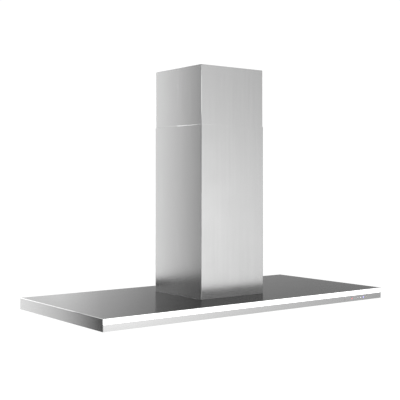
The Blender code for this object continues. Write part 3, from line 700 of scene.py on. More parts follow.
RED_LIGHT = LitAcrylic("red_light", (1.0, 0.22, 0.24), 0.30, glow=1.25)
FAINT_RED_LIGHT = LitAcrylic("faint_red_light", (0.62, 0.42, 0.40), 0.30, glow=0.8)
WHITE_LIGHT = LitAcrylic("white_light", (0.95, 0.97, 1.0), 0.30, glow=1.0)
VIOLET_LIGHT = LitAcrylic("violet_light", (0.46, 0.43, 1.0), 0.30, glow=1.7)
CREAM_LIGHT = LitAcrylic("cream_light", (1.0, 0.90, 0.70), 0.30, glow=0.9)


# ---- Duct covers ----


@dataclass
class DuctCovers:
    """The two telescoping covers, each of two bent sheets that meet half way along the sides."""

    bend: float = 0.0011
    bend_steps: int = 6
    seam: float = 0.0004
    mouth_height: float = 0.0020
    mouth_lean: float = 0.0005

    def build(self) -> None:
        """Builds the four sheets."""
        for level, body in (("lower", LOWER_COVER), ("upper", UPPER_COVER)):
            for side in (Side.FRONT, Side.BACK):
                self.build_half(level, body, side)

    def build_half(self, level: str, body: str, side: Side) -> None:
        """One U-shaped sheet.

        Args:
            level: Which cover it belongs to, lower or upper.
            body: The body it rides on.
            side: Front or back.
        """
        node = f"{level}_cover_{side.value}"
        low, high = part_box(node)
        half = high.x
        seam_y = side.sign * self.seam / 2
        far_y = low.y if side is Side.FRONT else high.y
        bm = bmesh.new()
        corners = ((-half, seam_y), (-half, far_y), (half, far_y), (half, seam_y))
        verts = [bm.verts.new((x, y, low.z)) for x, y in corners]
        for pair in zip(verts, verts[1:]):
            bm.edges.new(pair)
        bmesh.ops.bevel(
            bm, geom=verts[1:3], offset=self.bend, offset_type="OFFSET", segments=self.bend_steps,
            profile=0.5, affect="VERTICES", material=-1,
        )
        rises = [high.z - low.z]
        if level == "lower":
            rises = [high.z - low.z - self.mouth_height, self.mouth_height]
        row = list(bm.edges)
        for index, rise in enumerate(rises):
            raised = bmesh.ops.extrude_edge_only(bm, edges=row)["geom"]
            row = [item for item in raised if isinstance(item, Edge)]
            new_verts = [item for item in raised if isinstance(item, Vert)]
            bmesh.ops.translate(bm, vec=(0, 0, rise), verts=new_verts)
            if index == 1:
                inwards = (half - self.mouth_lean) / half
                bmesh.ops.scale(bm, vec=(inwards, inwards, 1), verts=new_verts)
        bmesh.ops.recalc_face_normals(bm, faces=bm.faces)
        outermost = max(bm.faces, key=lambda face: abs(face.calc_center_median().y))
        if outermost.normal.y * side.sign < 0:
            bmesh.ops.reverse_faces(bm, faces=bm.faces)
        hold_flats(bm, 0.002)
        sheet = ride_piece(f"{node}_sheet", bm, [COVER_STEEL], body, [node])
        wall = sheet.modifiers.new("wall", "SOLIDIFY")
        wall.thickness = SHEET_COVER
        wall.offset = -1.0
        wall.use_even_offset = True


# ---- Canopy ----


@dataclass
class CanopySkin:
    """The canopy's top, ends and back, folded from one sheet, with the air hole under the motor box."""

    fold: float = 0.0014
    air_hole: float = 0.200

    def build(self) -> None:
        """Builds the folded sheet."""
        low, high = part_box("canopy_shell")
        bm = bmesh.new()
        bmesh.ops.create_cube(bm, size=1.0)
        bmesh.ops.scale(bm, vec=high - low, verts=bm.verts)
        bmesh.ops.translate(bm, vec=(low + high) / 2, verts=bm.verts)
        folds = [edge for edge in bm.edges if self.is_fold(edge)]
        round_off(bm, folds, self.fold, 4)
        open_faces = [
            face for face in bm.faces if face.normal.y < -STRAIGHT or face.normal.z < -STRAIGHT
        ]
        bmesh.ops.delete(bm, geom=open_faces, context="FACES")
        for axis in (Axis.X, Axis.Y):
            for side in (-1, 1):
                middle = axis.vector * side * self.air_hole / 2
                geom = list(bm.verts) + list(bm.edges) + list(bm.faces)
                bmesh.ops.bisect_plane(bm, geom=geom, dist=WELD, plane_co=middle, plane_no=axis.vector)
        half_hole = self.air_hole / 2
        hole = [
            face for face in bm.faces
            if face.normal.z > STRAIGHT and max(map(abs, face.calc_center_median().xy)) < half_hole
        ]
        bmesh.ops.delete(bm, geom=hole, context="FACES")
        hold_flats(bm, 0.001)
        # The top faces take the darker copy of the steel, which is painted shade on the same sheet
        for face in bm.faces:
            face.material_index = 1 if face.normal.z > STRAIGHT else 0
        looks = [CANOPY_STEEL, SHADED_TOP_STEEL]
        skin = ride_piece("canopy_skin", bm, looks, HOOD, ["canopy_shell"])
        wall = skin.modifiers.new("wall", "SOLIDIFY")
        wall.thickness = SHEET_CANOPY
        wall.offset = -1.0
        wall.use_even_offset = True

    @staticmethod
    def is_fold(edge: Edge) -> bool:
        """Whether an edge of the block is folded: round the top but its front, and the two back corners."""
        normals = [face.normal for face in edge.link_faces]
        tops = any(normal.z > STRAIGHT for normal in normals)
        front_or_low = any(normal.y < -STRAIGHT or normal.z < -STRAIGHT for normal in normals)
        backs = any(normal.y > STRAIGHT for normal in normals)
        return not front_or_low and (tops or backs)


@dataclass
class FrontEdge:
    """The canopy's front: the lit opal bar over the steel fascia."""

    bar_rounding: float = 0.0006
    fascia_bend: float = 0.0005

    def build(self) -> None:
        """Builds the bar and the fascia."""
        low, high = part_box("light_diffuser")
        bm = bmesh.new()
        add_block(bm, low, high, self.bar_rounding, 3)
        ride_piece("opal_bar", bm, [OPAL], HOOD, ["light_diffuser"])
        formed("front_fascia", CANOPY_STEEL, HOOD, self.fascia_bend)


# ---- Touch controls ----


class Glyph(Enum):
    """The plain sign on a touch key."""

    DOT = "dot"
    POWER = "power"
    MINUS = "minus"
    SLASH = "slash"
    PLUS = "plus"
    RING = "ring"


@dataclass
class TouchControls:
    """The glass bar behind the fascia, a peg through each hole, and a lit sign on each peg."""

    peg_radius: float = 0.0027
    bar_depth: float = 0.002
    end_margin: float = 0.012
    row_gap: float = 0.037
    pitch: float = 0.0153
    proud: float = 0.00008
    stroke: float = 0.0011
    reach: float = 0.0020
    ring_steps: int = 28
    keys: tuple[tuple[Glyph, LitAcrylic], ...] = (
        (Glyph.DOT, FAINT_RED_LIGHT), (Glyph.POWER, RED_LIGHT), (Glyph.MINUS, WHITE_LIGHT),
        (Glyph.SLASH, WHITE_LIGHT), (Glyph.PLUS, WHITE_LIGHT), (Glyph.RING, VIOLET_LIGHT),
        (Glyph.DOT, CREAM_LIGHT),
    )

    def build(self) -> None:
        """Builds the glass, the signs and the board."""
        low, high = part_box("touch_lens")
        height = (low.z + high.z) / 2
        row = low.x + self.end_margin + self.row_gap
        places = [low.x + self.end_margin]
        places += [row + index * self.pitch for index in range(len(self.keys) - 1)]
        bm = bmesh.new()
        add_block(bm, (low.x, high.y - self.bar_depth, low.z), high, 0.0003)
        for x in places:
            peg_end = (x, high.y - self.bar_depth / 2, height)
            add_rod(bm, (x, low.y, height), peg_end, self.peg_radius, 32, 0.0002)
        ride_piece("touch_glass", bm, [TOUCH_GLASS], HOOD, ["touch_lens"])
        looks = list(dict.fromkeys(look for _, look in self.keys))
        signs = bmesh.new()
        for x, (glyph, look) in zip(places, self.keys):
            sign = bmesh.new()
            self.add_sign(sign, glyph, Vector((x, low.y, height)))
            paint(signs, sign, looks.index(look))
        ride_piece("touch_signs", signs, looks, HOOD)
        self.build_board(places, height)

    def add_sign(self, bm: Mesh, glyph: Glyph, at: Vector) -> None:
        """Adds one sign.

        Args:
            bm: The mesh it joins.
            glyph: Which sign.
            at: The middle of the peg's face.
        """
        half = self.stroke / 2
        if glyph in (Glyph.POWER, Glyph.RING):
            gap = math.radians(70) if glyph is Glyph.POWER else 0.0
            self.add_arc(bm, at, self.reach, gap)
        if glyph is Glyph.POWER:
            self.add_bar(bm, at, (half, self.reach * 0.7), self.reach * 0.6)
        if glyph in (Glyph.MINUS, Glyph.PLUS):
            self.add_bar(bm, at, (self.reach, half), 0.0)
        if glyph is Glyph.PLUS:
            self.add_bar(bm, at, (half, self.reach), 0.0)
        if glyph is Glyph.SLASH:
            self.add_bar(bm, at, (self.reach * 1.2, half), 0.0, math.radians(-50))
        if glyph in (Glyph.DOT, Glyph.RING):
            face = at - Vector((0, self.proud, 0))
            add_rod(bm, face, at + Vector((0, self.proud, 0)), self.stroke * 0.9, 20)

    def add_bar(self, bm: Mesh, at: Vector, half: Point, lift: float, turn: float = 0.0) -> None:
        """Adds a bar to a sign.

        Args:
            bm: The mesh it joins.
            at: The middle of the peg's face.
            half: Half its width and half its height.
            lift: How far above the middle it stands.
            turn: How far it is turned about the peg, in radians.
        """
        part = bmesh.new()
        add_block(part, (-half[0], -self.proud, lift - half[1]), (half[0], self.proud, lift + half[1]))
        bmesh.ops.rotate(part, matrix=Matrix.Rotation(turn, 3, "Y"), verts=part.verts)
        bmesh.ops.translate(part, vec=at, verts=part.verts)
        merge(bm, part)

    def add_arc(self, bm: Mesh, at: Vector, radius: float, gap: float) -> None:
        """Adds a ring to a sign, open at its top by a gap in radians."""
        part = bmesh.new()
        inner, outer = radius - self.stroke / 2, radius + self.stroke / 2
        front, back = -self.proud, self.proud
        corners = ((inner, front), (outer, front), (outer, back), (inner, back))
        face = part.faces.new([part.verts.new((x, y, 0)) for x, y in corners])
        bmesh.ops.rotate(part, matrix=Matrix.Rotation(gap / 2 - math.pi / 2, 3, "Y"), verts=part.verts)
        bmesh.ops.spin(
            part, geom=[face, *face.edges, *face.verts], cent=(0, 0, 0), axis=(0, 1, 0),
            angle=2 * math.pi - gap, steps=self.ring_steps, use_merge=gap == 0.0,
        )
        bmesh.ops.remove_doubles(part, verts=part.verts, dist=WELD)
        bmesh.ops.recalc_face_normals(part, faces=part.faces)
        bmesh.ops.translate(part, vec=at, verts=part.verts)
        merge(bm, part)

    def build_board(self, places: Sequence[float], height: float) -> None:
        """The board behind the glass: a sprung pad for each key, a controller and a plug."""
        low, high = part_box("touch_board")
        bm = bmesh.new()
        add_block(bm, low, high, 0.0001, 1)
        middle = (low.x + high.x) / 2
        # Each part's left and right, half its height, how far it stands out, its rounding and its steps
        parts_on_board = [(x + 0.004, x + 0.0068, 0.0015, 0.0008, 0.0001, 1) for x in places]
        parts_on_board.append((middle - 0.004, middle + 0.004, 0.0035, 0.0015, 0.0002, 2))
        parts_on_board.append((low.x + 0.002, low.x + 0.012, 0.004, 0.005, 0.0003, 2))
        parts = bmesh.new()
        for left, right, half, out, rounding, steps in parts_on_board:
            corners = ((left, high.y, height - half), (right, high.y + out, height + half))
            add_block(parts, *corners, rounding, steps)
        paint(bm, parts, 1)
        ride_piece("touch_circuit", bm, [GREEN_BOARD, BLACK_MOULDING], HOOD, ["touch_board"])


# ---- Light bar's inside ----


@dataclass
class LightBar:
    """The extruded channel behind the opal bar, and the strip of diodes in it."""

    diode: float = 0.0028
    diode_proud: float = 0.0007
    # Half a resistor's width, half its height, and how far it stands out
    resistor: tuple[float, float, float] = (0.0008, 0.0006, 0.0004)
    pitch: float = 0.0166

    def build(self) -> None:
        """Builds the channel and the strip."""
        formed("light_channel", DRAWN_ALUMINIUM, HOOD, 0.0003)
        low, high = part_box("led_strip")
        bm = bmesh.new()
        add_block(bm, low, high, 0.0001, 1)
        diodes = bmesh.new()
        resistors = bmesh.new()
        middle = (low.z + high.z) / 2
        count = int((high.x - low.x) / self.pitch)
        half = self.diode / 2
        wide, tall, proud = self.resistor
        for index in range(count):
            x = low.x + (index + 0.5) * (high.x - low.x) / count
            lowest = (x - half, low.y - self.diode_proud, middle - half)
            add_block(diodes, lowest, (x + half, low.y, middle + half))
            if index % 3 == 1:
                x += self.pitch / 2
                lowest = (x - wide, low.y - proud, middle - tall)
                add_block(resistors, lowest, (x + wide, low.y, middle + tall))
        paint(bm, diodes, 1)
        paint(bm, resistors, 2)
        looks = [WHITE_BOARD, PHOSPHOR, BLACK_MOULDING]
        ride_piece("diode_strip", bm, looks, HOOD, ["led_strip"])


# ---- Underside ----


@dataclass
class Underside:
    """The panel with its filter openings, and the screws that hold it."""

    screw_radius: float = 0.0027
    from_edge: float = 0.008
    across_count: int = 7

    def build(self) -> None:
        """Builds the panel and its screws."""
        formed("bottom_panel", PANEL_STEEL, HOOD, 0.00025)
        low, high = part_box("bottom_panel")
        bm = bmesh.new()
        left, right = low.x + self.from_edge, high.x - self.from_edge
        for index in range(self.across_count):
            x = left + (right - left) * index / (self.across_count - 1)
            for y in (low.y + self.from_edge, high.y - self.from_edge):
                add_screw(bm, (x, y, low.z), (0, 0, -1), self.screw_radius)
        for x in (left, right):
            add_screw(bm, (x, 0.0, low.z), (0, 0, -1), self.screw_radius)
        ride_piece("panel_screws", bm, [PLAIN_STEEL], HOOD)


@dataclass
class Lamp:
    """A recessed lamp: a turned trim ring with a cup above the panel, and a domed frosted lens."""

    name: str
    trim_drop: float = 0.0010
    cup_radius: float = 0.029
    flange_radius: float = 0.033
    bore: float = 0.0247
    groove: float = 0.0012
    dome: float = 0.0012

    def build(self) -> None:
        """Builds the ring and the lens."""
        low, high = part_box(f"lamp_{self.name}_housing")
        at = ((low.x + high.x) / 2, (low.y + high.y) / 2, low.z)
        tall = high.z - low.z
        drop = self.trim_drop
        cup = self.cup_radius
        groove = cup - self.groove
        flange = self.flange_radius
        bore = self.bore
        ring = [
            (0.0, tall), (cup - 0.003, tall), (cup - 0.0008, tall - 0.0008), (cup, tall - 0.003),
            (cup, tall * 0.72), (groove, tall * 0.70), (groove, tall * 0.62), (cup, tall * 0.60),
            (cup, tall * 0.50), (groove, tall * 0.48), (groove, tall * 0.40), (cup, tall * 0.38),
            (cup, drop), (flange - 0.0002, drop), (flange, drop * 0.7),
            (flange - 0.0003, drop * 0.25), (flange - 0.0009, 0.0),
            (bore + 0.0010, 0.0), (bore + 0.0004, 0.0001), (bore + 0.0002, 0.0006),
            (bore, 0.0022), (bore - 0.0035, 0.0024), (bore - 0.0035, 0.012), (0.0, 0.012),
        ]
        bm = bmesh.new()
        add_turned(bm, ring, at, (0, 0, 1), 64)
        node = f"lamp_{self.name}_housing"
        ride_piece(f"lamp_{self.name}_trim", bm, [TRIM_STEEL], HOOD, [node], 30.0)
        edge = bore - 0.0003
        dome = self.dome
        lens = [
            (0.0, 0.0021), (edge, 0.0021), (edge, 0.0006 + dome), (edge - 0.0004, dome * 0.9),
            (edge * 0.9, dome * 0.55), (edge * 0.7, dome * 0.25), (edge * 0.4, dome * 0.06), (0.0, 0.0),
        ]
        bm = bmesh.new()
        add_turned(bm, lens, at, (0, 0, 1), 48)
        node = f"lamp_{self.name}_lens"
        ride_piece(f"lamp_{self.name}_glass", bm, [LAMP_GLASS], HOOD, [node], 60.0)


# ---- Grease filters ----


@dataclass
class GreaseFilter:
    """One cassette: a riveted frame, three layers of expanded mesh, and its sliding latch."""

    name: str
    rim: float = 0.014
    strand: float = 0.0007
    strand_thick: float = 0.0005
    lap: float = 0.0035
    rivet: float = 0.0019
    rib_pitch: float = 0.0015
    rib_reach: float = 0.019
    # Each layer: its lowest height in the mesh, the diamond's length and width, and whether it is turned
    layers: tuple[tuple[float, float, float, bool], ...] = (
        (0.0000, 0.0120, 0.0060, False), (0.0007, 0.0090, 0.0045, True), (0.0014, 0.0120, 0.0060, False),
    )

    def build(self) -> None:
        """Builds the frame, the mesh and the latch."""
        body = f"filter_{self.name}"
        formed(f"{body}_frame", FILTER_ALUMINIUM, body, 0.0007)
        self.build_rivets(body)
        self.build_mesh(body)
        self.build_latch(body)

    def build_rivets(self, body: str) -> None:
        """Three rivets at each corner: two on the side rim and one further in."""
        low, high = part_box(f"{body}_frame")
        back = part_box(f"{body}_mesh")[1].y + self.rim - self.lap - 0.0012
        bm = bmesh.new()
        x_middle = (low.x + high.x) / 2
        half = (high.x - low.x) / 2
        spots = []
        for side in (-1, 1):
            edge = x_middle + side * (half - self.rim / 2)
            inner = x_middle + side * (half - self.rim - 0.012)
            spots += [(edge, low.y + 0.012), (edge, low.y + 0.040), (inner, low.y + 0.030)]
            spots += [(edge, back - 0.006), (edge, back - 0.028), (inner, back - 0.004)]
        wide = self.rivet
        dome = [
            (0.0, 0.0), (wide, 0.0), (wide * 0.9, wide * 0.25), (wide * 0.55, wide * 0.42),
            (0.0, wide * 0.46),
        ]
        for x, y in spots:
            add_turned(bm, dome, (x, y, low.z), (0, 0, -1), 14, closed=False)
        ride_piece(f"{body}_rivets", bm, [PLAIN_STEEL], body)

    def build_mesh(self, body: str) -> None:
        """Three layers of expanded sheet, each of zigzag strands that meet their neighbours."""
        low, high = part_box(f"{body}_mesh")
        bm = bmesh.new()
        for height, length, width, turned in self.layers:
            span = Vector((high.x - low.x, high.y - low.y))
            if turned:
                span = Vector((span.y, span.x))
            strand = self.strand_mesh(span.x, length, width)
            layer = bmesh.new()
            count = int(span.y / width)
            carrier = bpy.data.meshes.new("strand")
            strand.to_mesh(carrier)
            strand.free()
            for index in range(count):
                before = len(layer.verts)
                layer.from_mesh(carrier)
                layer.verts.ensure_lookup_table()
                fresh = layer.verts[before:]
                flip = 1 if index % 2 else -1
                bmesh.ops.scale(layer, vec=(1, flip, 1), verts=fresh)
                offset = (index + 0.5) * span.y / count - span.y / 2
                bmesh.ops.translate(layer, vec=(0, offset, 0), verts=fresh)
            bpy.data.meshes.remove(carrier)
            bmesh.ops.recalc_face_normals(layer, faces=layer.faces)
            if turned:
                bmesh.ops.rotate(layer, matrix=Matrix.Rotation(math.pi / 2, 3, "Z"), verts=layer.verts)
            middle = Vector(((low.x + high.x) / 2, (low.y + high.y) / 2, low.z + height))
            bmesh.ops.translate(layer, vec=middle, verts=layer.verts)
            merge(bm, layer)
        name = f"{body}_expanded_mesh"
        ride_piece(name, bm, [MESH_ALUMINIUM], body, [f"{body}_mesh"], 30.0)

    def strand_mesh(self, span: float, length: float, width: float) -> Mesh:
        """One zigzag strand along X, centred on the origin, with its underside at height 0.

        Args:
            span: How long it is.
            length: The diamond's length.
            width: The diamond's width.

        Returns:
            The strand.
        """
        count = max(2, 2 * round(span / length))
        bm = bmesh.new()
        bmesh.ops.create_grid(bm, x_segments=count, y_segments=1, size=0.5)
        bmesh.ops.scale(bm, vec=(span, self.strand, 1), verts=bm.verts)
        step = span / count
        swing = (width - self.strand) / 2
        for parity, shift in ((0, swing), (1, -swing)):
            row = [vert for vert in bm.verts if round((vert.co.x + span / 2) / step) % 2 == parity]
            bmesh.ops.translate(bm, vec=(0, shift, 0), verts=row)
        raised = bmesh.ops.extrude_face_region(bm, geom=list(bm.faces))["geom"]
        verts = [item for item in raised if isinstance(item, Vert)]
        bmesh.ops.translate(bm, vec=(0, 0, self.strand_thick), verts=verts)
        bmesh.ops.recalc_face_normals(bm, faces=bm.faces)
        return bm

    def build_latch(self, body: str) -> None:
        """The latch with softened edges, and grip ribs in its finger pocket."""
        node = f"{body}_latch"
        formed(node, BLACK_MOULDING, node, 0.0006)
        low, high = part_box(node)
        middle = Vector(((low.x + high.x) / 2, high.y - 0.010, low.z + 0.005))
        bm = bmesh.new()
        for index in range(-3, 4):
            y = middle.y + index * self.rib_pitch
            left, right = middle.x - self.rib_reach, middle.x + self.rib_reach
            add_rod(bm, (left, y, middle.z), (right, y, middle.z), 0.0005, 8)
        ride_piece(f"{body}_latch_grip", bm, [BLACK_MOULDING], node)


# ---- Ceiling frame ----


@dataclass
class CeilingFrame:
    """The galvanised bracket, the eight slotted posts, the base frame and braces, and their bolts."""

    sheet_rounding: float = 0.0004
    bolt: float = 0.0098
    from_ceiling: float = 0.018
    arm_middle: float = 0.011
    slot_pitch: float = 0.055
    sheet: float = 0.002
    anchor_x: float = 0.075
    anchor_inset: float = 0.0158
    washer: float = 0.0012

    def build(self) -> None:
        """Builds the frame and its fasteners."""
        posts = [
            f"{level}_post_{fore}_{side}"
            for level in ("upper", "lower") for fore in ("front", "back") for side in ("left", "right")
        ]
        for node in ["ceiling_bracket", "base_frame", "brace_left", "brace_right", *posts]:
            formed(node, GALVANISED_SHEET, HOOD, self.sheet_rounding)
        self.build_bolts()

    def build_bolts(self) -> None:
        """Hexagon bolts on the posts' outer faces, and pan heads inside the braces."""
        upper_low, upper_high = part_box("upper_post_back_right")
        lower_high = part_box("lower_post_back_right")[1]
        base_low, base_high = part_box("base_frame")
        brace_low, brace_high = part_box("brace_right")
        lap = (upper_low.z + lower_high.z) / 2
        levels = [
            (upper_high.x, -self.from_ceiling), (upper_high.x, lap - self.slot_pitch / 2),
            (upper_high.x, lap + self.slot_pitch / 2), (lower_high.x, (base_low.z + base_high.z) / 2),
        ]
        bm = bmesh.new()
        for across in (-1, 1):
            for along in (-1, 1):
                for face, height in levels:
                    arm = face - self.arm_middle
                    add_bolt(bm, (across * face, along * arm, height), (across, 0, 0), self.bolt)
                    add_bolt(bm, (across * arm, along * face, height), (0, along, 0), self.bolt)
                brace_end = along * (brace_high.y - self.arm_middle)
                spot = (across * brace_low.x, brace_end, (brace_low.z + brace_high.z) / 2)
                add_screw(bm, spot, (-across, 0, 0), 0.004)
        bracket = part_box("ceiling_bracket")
        under = -self.sheet
        for x in (-self.anchor_x, self.anchor_x):
            for side in (-1, 1):
                y = side * (bracket[1].y - self.anchor_inset)
                add_rod(bm, (x, y, under), (x, y, under - self.washer), 0.0075, 24, 0.0002)
                add_screw(bm, (x, y, under - self.washer), (0, 0, -1), 0.0050)
        ride_piece("frame_bolts", bm, [PLAIN_STEEL], HOOD)


# ---- Blower ----


@dataclass
class Blower:
    """The motor box and, inside it, the casing, the inlet, the wheel, the motor and its capacitor."""

    rivet: float = 0.0024
    rivet_rows: int = 5
    blade_count: int = 36
    blade_sweep: float = 0.24
    blade_thick: float = 0.0008
    wheel_wall: float = 0.0018
    inlet_screws: int = 6
    inlet_screw_ring: float = 0.0725
    motor_fins: int = 16
    motor_fin: float = 0.0012
    fin_inset: float = 0.0170
    motor_bolts: int = 4
    motor_bolt_ring: float = 0.036

    def build(self) -> None:
        """Builds every piece of the blower."""
        self.build_motor_box()
        self.build_casing()
        self.build_wheel()
        self.build_motor()

    def build_motor_box(self) -> None:
        """The box, with rivets down its corners and round its top."""
        low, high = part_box("motor_box")
        formed("motor_box", GALVANISED_SHEET, HOOD, 0.0003)
        wide = self.rivet
        dome = [
            (0.0, 0.0), (wide, 0.0), (wide * 0.92, wide * 0.2), (wide * 0.6, wide * 0.38),
            (0.0, wide * 0.42),
        ]
        bm = bmesh.new()
        start, end = low.z + 0.060, high.z - 0.012
        for row in range(self.rivet_rows):
            height = start + (end - start) * row / (self.rivet_rows - 1)
            for side in (-1, 1):
                for corner in (-1, 1):
                    reach = corner * (high.x - 0.020)
                    add_turned(bm, dome, (side * high.x, reach, height), (side, 0, 0), 14, closed=False)
                    add_turned(bm, dome, (reach, side * high.y, height), (0, side, 0), 14, closed=False)
        ride_piece("motor_box_rivets", bm, [PLAIN_STEEL], HOOD)

    def build_casing(self) -> None:
        """The spiral casing, its inlet plate with a rolled mouth, and the plate's screws."""
        formed("blower_scroll", BLACK_MOULDING, HOOD, 0.0005)
        formed("inlet_plate", BLACK_MOULDING, HOOD, 0.0004)
        low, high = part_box("impeller")
        centre = (low + high) / 2
        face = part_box("inlet_plate")[0].x
        at = (face, centre.y, centre.z)
        mouth = [
            (0.0562, 0.0), (0.0562, 0.0012), (0.0572, 0.0034), (0.0592, 0.0048),
            (0.0618, 0.0050), (0.0640, 0.0040), (0.0652, 0.0022), (0.0655, 0.0),
        ]
        bm = bmesh.new()
        add_turned(bm, mouth, at, (-1, 0, 0), 64)
        ride_piece("inlet_mouth", bm, [BLACK_MOULDING], HOOD)
        bm = bmesh.new()
        for y, z in round_spots(self.inlet_screws, self.inlet_screw_ring, math.radians(20)):
            add_screw(bm, (face, centre.y + y, centre.z + z), (-1, 0, 0), 0.0030)
        ride_piece("inlet_screws", bm, [PLAIN_STEEL], HOOD)

    def build_wheel(self) -> None:
        """The wheel: a dished back plate with its hub, a front ring, and curved blades between them."""
        low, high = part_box("impeller")
        centre = (low + high) / 2
        radius = (high.y - low.y) / 2
        inside = radius - 0.017
        bm = bmesh.new()
        blade = bmesh.new()
        steps = 6
        line = []
        for index in range(steps):
            share = index / (steps - 1)
            reach = inside + 0.0005 + (radius - inside - 0.0012) * share
            angle = self.blade_sweep * share ** 1.6
            line.append(blade.verts.new((low.x + 0.0010, reach * math.cos(angle), reach * math.sin(angle))))
        edges = [blade.edges.new(pair) for pair in zip(line, line[1:])]
        raised = bmesh.ops.extrude_edge_only(blade, edges=edges)["geom"]
        verts = [item for item in raised if isinstance(item, Vert)]
        bmesh.ops.translate(blade, vec=(high.x - low.x - 0.0020, 0, 0), verts=verts)
        bmesh.ops.recalc_face_normals(blade, faces=blade.faces)
        bmesh.ops.solidify(blade, geom=list(blade.faces), thickness=self.blade_thick)
        bmesh.ops.recalc_face_normals(blade, faces=blade.faces)
        copies = self.blade_count - 1
        bmesh.ops.spin(
            blade, geom=[*blade.verts, *blade.edges, *blade.faces], cent=(0, 0, 0), axis=(1, 0, 0),
            angle=2 * math.pi / self.blade_count * copies, steps=copies, use_duplicate=True,
        )
        bmesh.ops.translate(blade, vec=(0, centre.y, centre.z), verts=blade.verts)
        merge(bm, blade)
        at = (high.x, centre.y, centre.z)
        wall = self.wheel_wall
        plate = [
            (0.0043, 0.042), (0.0043, 0.0), (0.016, 0.0), (0.019, 0.0015), (0.040, 0.0030),
            (0.050, 0.0012), (0.054, 0.0), (radius - 0.0003, 0.0), (radius, 0.0004), (radius, wall),
            (0.055, wall), (0.050, 0.0012 + wall), (0.040, 0.0030 + wall), (0.019, 0.0015 + wall),
            (0.0135, 0.005), (0.0122, 0.008), (0.0120, 0.0415), (0.0115, 0.042),
        ]
        add_turned(bm, plate, at, (-1, 0, 0), 72)
        front = (low.x, centre.y, centre.z)
        ring = [
            (inside, 0.0004), (inside + 0.0004, 0.0), (radius - 0.0004, 0.0), (radius, 0.0004),
            (radius, wall), (inside, wall),
        ]
        add_turned(bm, ring, front, (1, 0, 0), 72)
        ride_piece("blower_wheel", bm, [BLACK_MOULDING], IMPELLER, ["impeller"], 30.0)

    def build_motor(self) -> None:
        """The motor with its pressed ends and bolts, its shaft, and the run capacitor."""
        low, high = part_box("motor")
        middle = (low + high) / 2
        radius = (high.y - low.y) / 2
        long = high.x - low.x
        at = (low.x, middle.y, middle.z)
        can = [
            (0.0, 0.038), (0.0045, 0.038), (0.0045, 0.0), (0.012, 0.0), (0.0135, 0.0015), (0.0150, 0.0030),
            (radius - 0.006, 0.0040), (radius - 0.002, 0.0048), (radius, 0.0070), (radius, 0.0150),
            (radius - 0.0012, 0.0158), (radius - 0.0012, long - 0.0158), (radius, long - 0.0150),
            (radius, long - 0.0070), (radius - 0.002, long - 0.0040), (radius - 0.006, long - 0.0030),
            (0.018, long - 0.0020), (0.0165, long - 0.0006), (0.0155, long), (0.0, long),
        ]
        bm = bmesh.new()
        add_turned(bm, can, at, (1, 0, 0), 72)
        for y, z in round_spots(self.motor_fins, radius - self.motor_fin):
            start = Vector(at) + Vector((self.fin_inset, y, z))
            end = start + Vector((long - 2 * self.fin_inset, 0, 0))
            add_rod(bm, start, end, self.motor_fin, 8)
        for y, z in round_spots(self.motor_bolts, self.motor_bolt_ring, math.pi / 4):
            add_bolt(bm, Vector(at) + Vector((long - 0.0028, y, z)), (1, 0, 0), 0.006)
        ride_piece("motor_can", bm, [MOTOR_STEEL], HOOD, ["motor"], 30.0)
        low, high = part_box("motor_shaft")
        bm = bmesh.new()
        middle = (low + high) / 2
        add_rod(
            bm, (low.x, middle.y, middle.z), (high.x, middle.y, middle.z), (high.z - low.z) / 2, 32, 0.0004
        )
        ride_piece("turned_shaft", bm, [PLAIN_STEEL], IMPELLER, ["motor_shaft"])
        self.build_capacitor()

    def build_capacitor(self) -> None:
        """A plastic can with a rounded foot, a potted end and two blades."""
        low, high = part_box("run_capacitor")
        middle = (low + high) / 2
        radius = (high.y - low.y) / 2
        long = high.x - low.x
        outline = [
            (0.0, 0.0), (radius - 0.002, 0.0), (radius - 0.0006, 0.0006), (radius, 0.002),
            (radius, long - 0.0012), (radius - 0.0005, long), (radius - 0.0014, long),
            (radius - 0.0018, long - 0.0015), (0.0, long - 0.0015),
        ]
        bm = bmesh.new()
        add_turned(bm, outline, (low.x, middle.y, middle.z), (1, 0, 0), 48)
        blades = bmesh.new()
        for side in (-1, 1):
            y = middle.y + side * 0.005
            root = (high.x - 0.002, y - 0.0004, middle.z - 0.0031)
            tip = (high.x + 0.006, y + 0.0004, middle.z + 0.0031)
            add_block(blades, root, tip, 0.0002, 1)
        paint(bm, blades, 1)
        ride_piece("capacitor_can", bm, [GREY_MOULDING, BRASS], HOOD, ["run_capacitor"])


# ---- Outlet ----


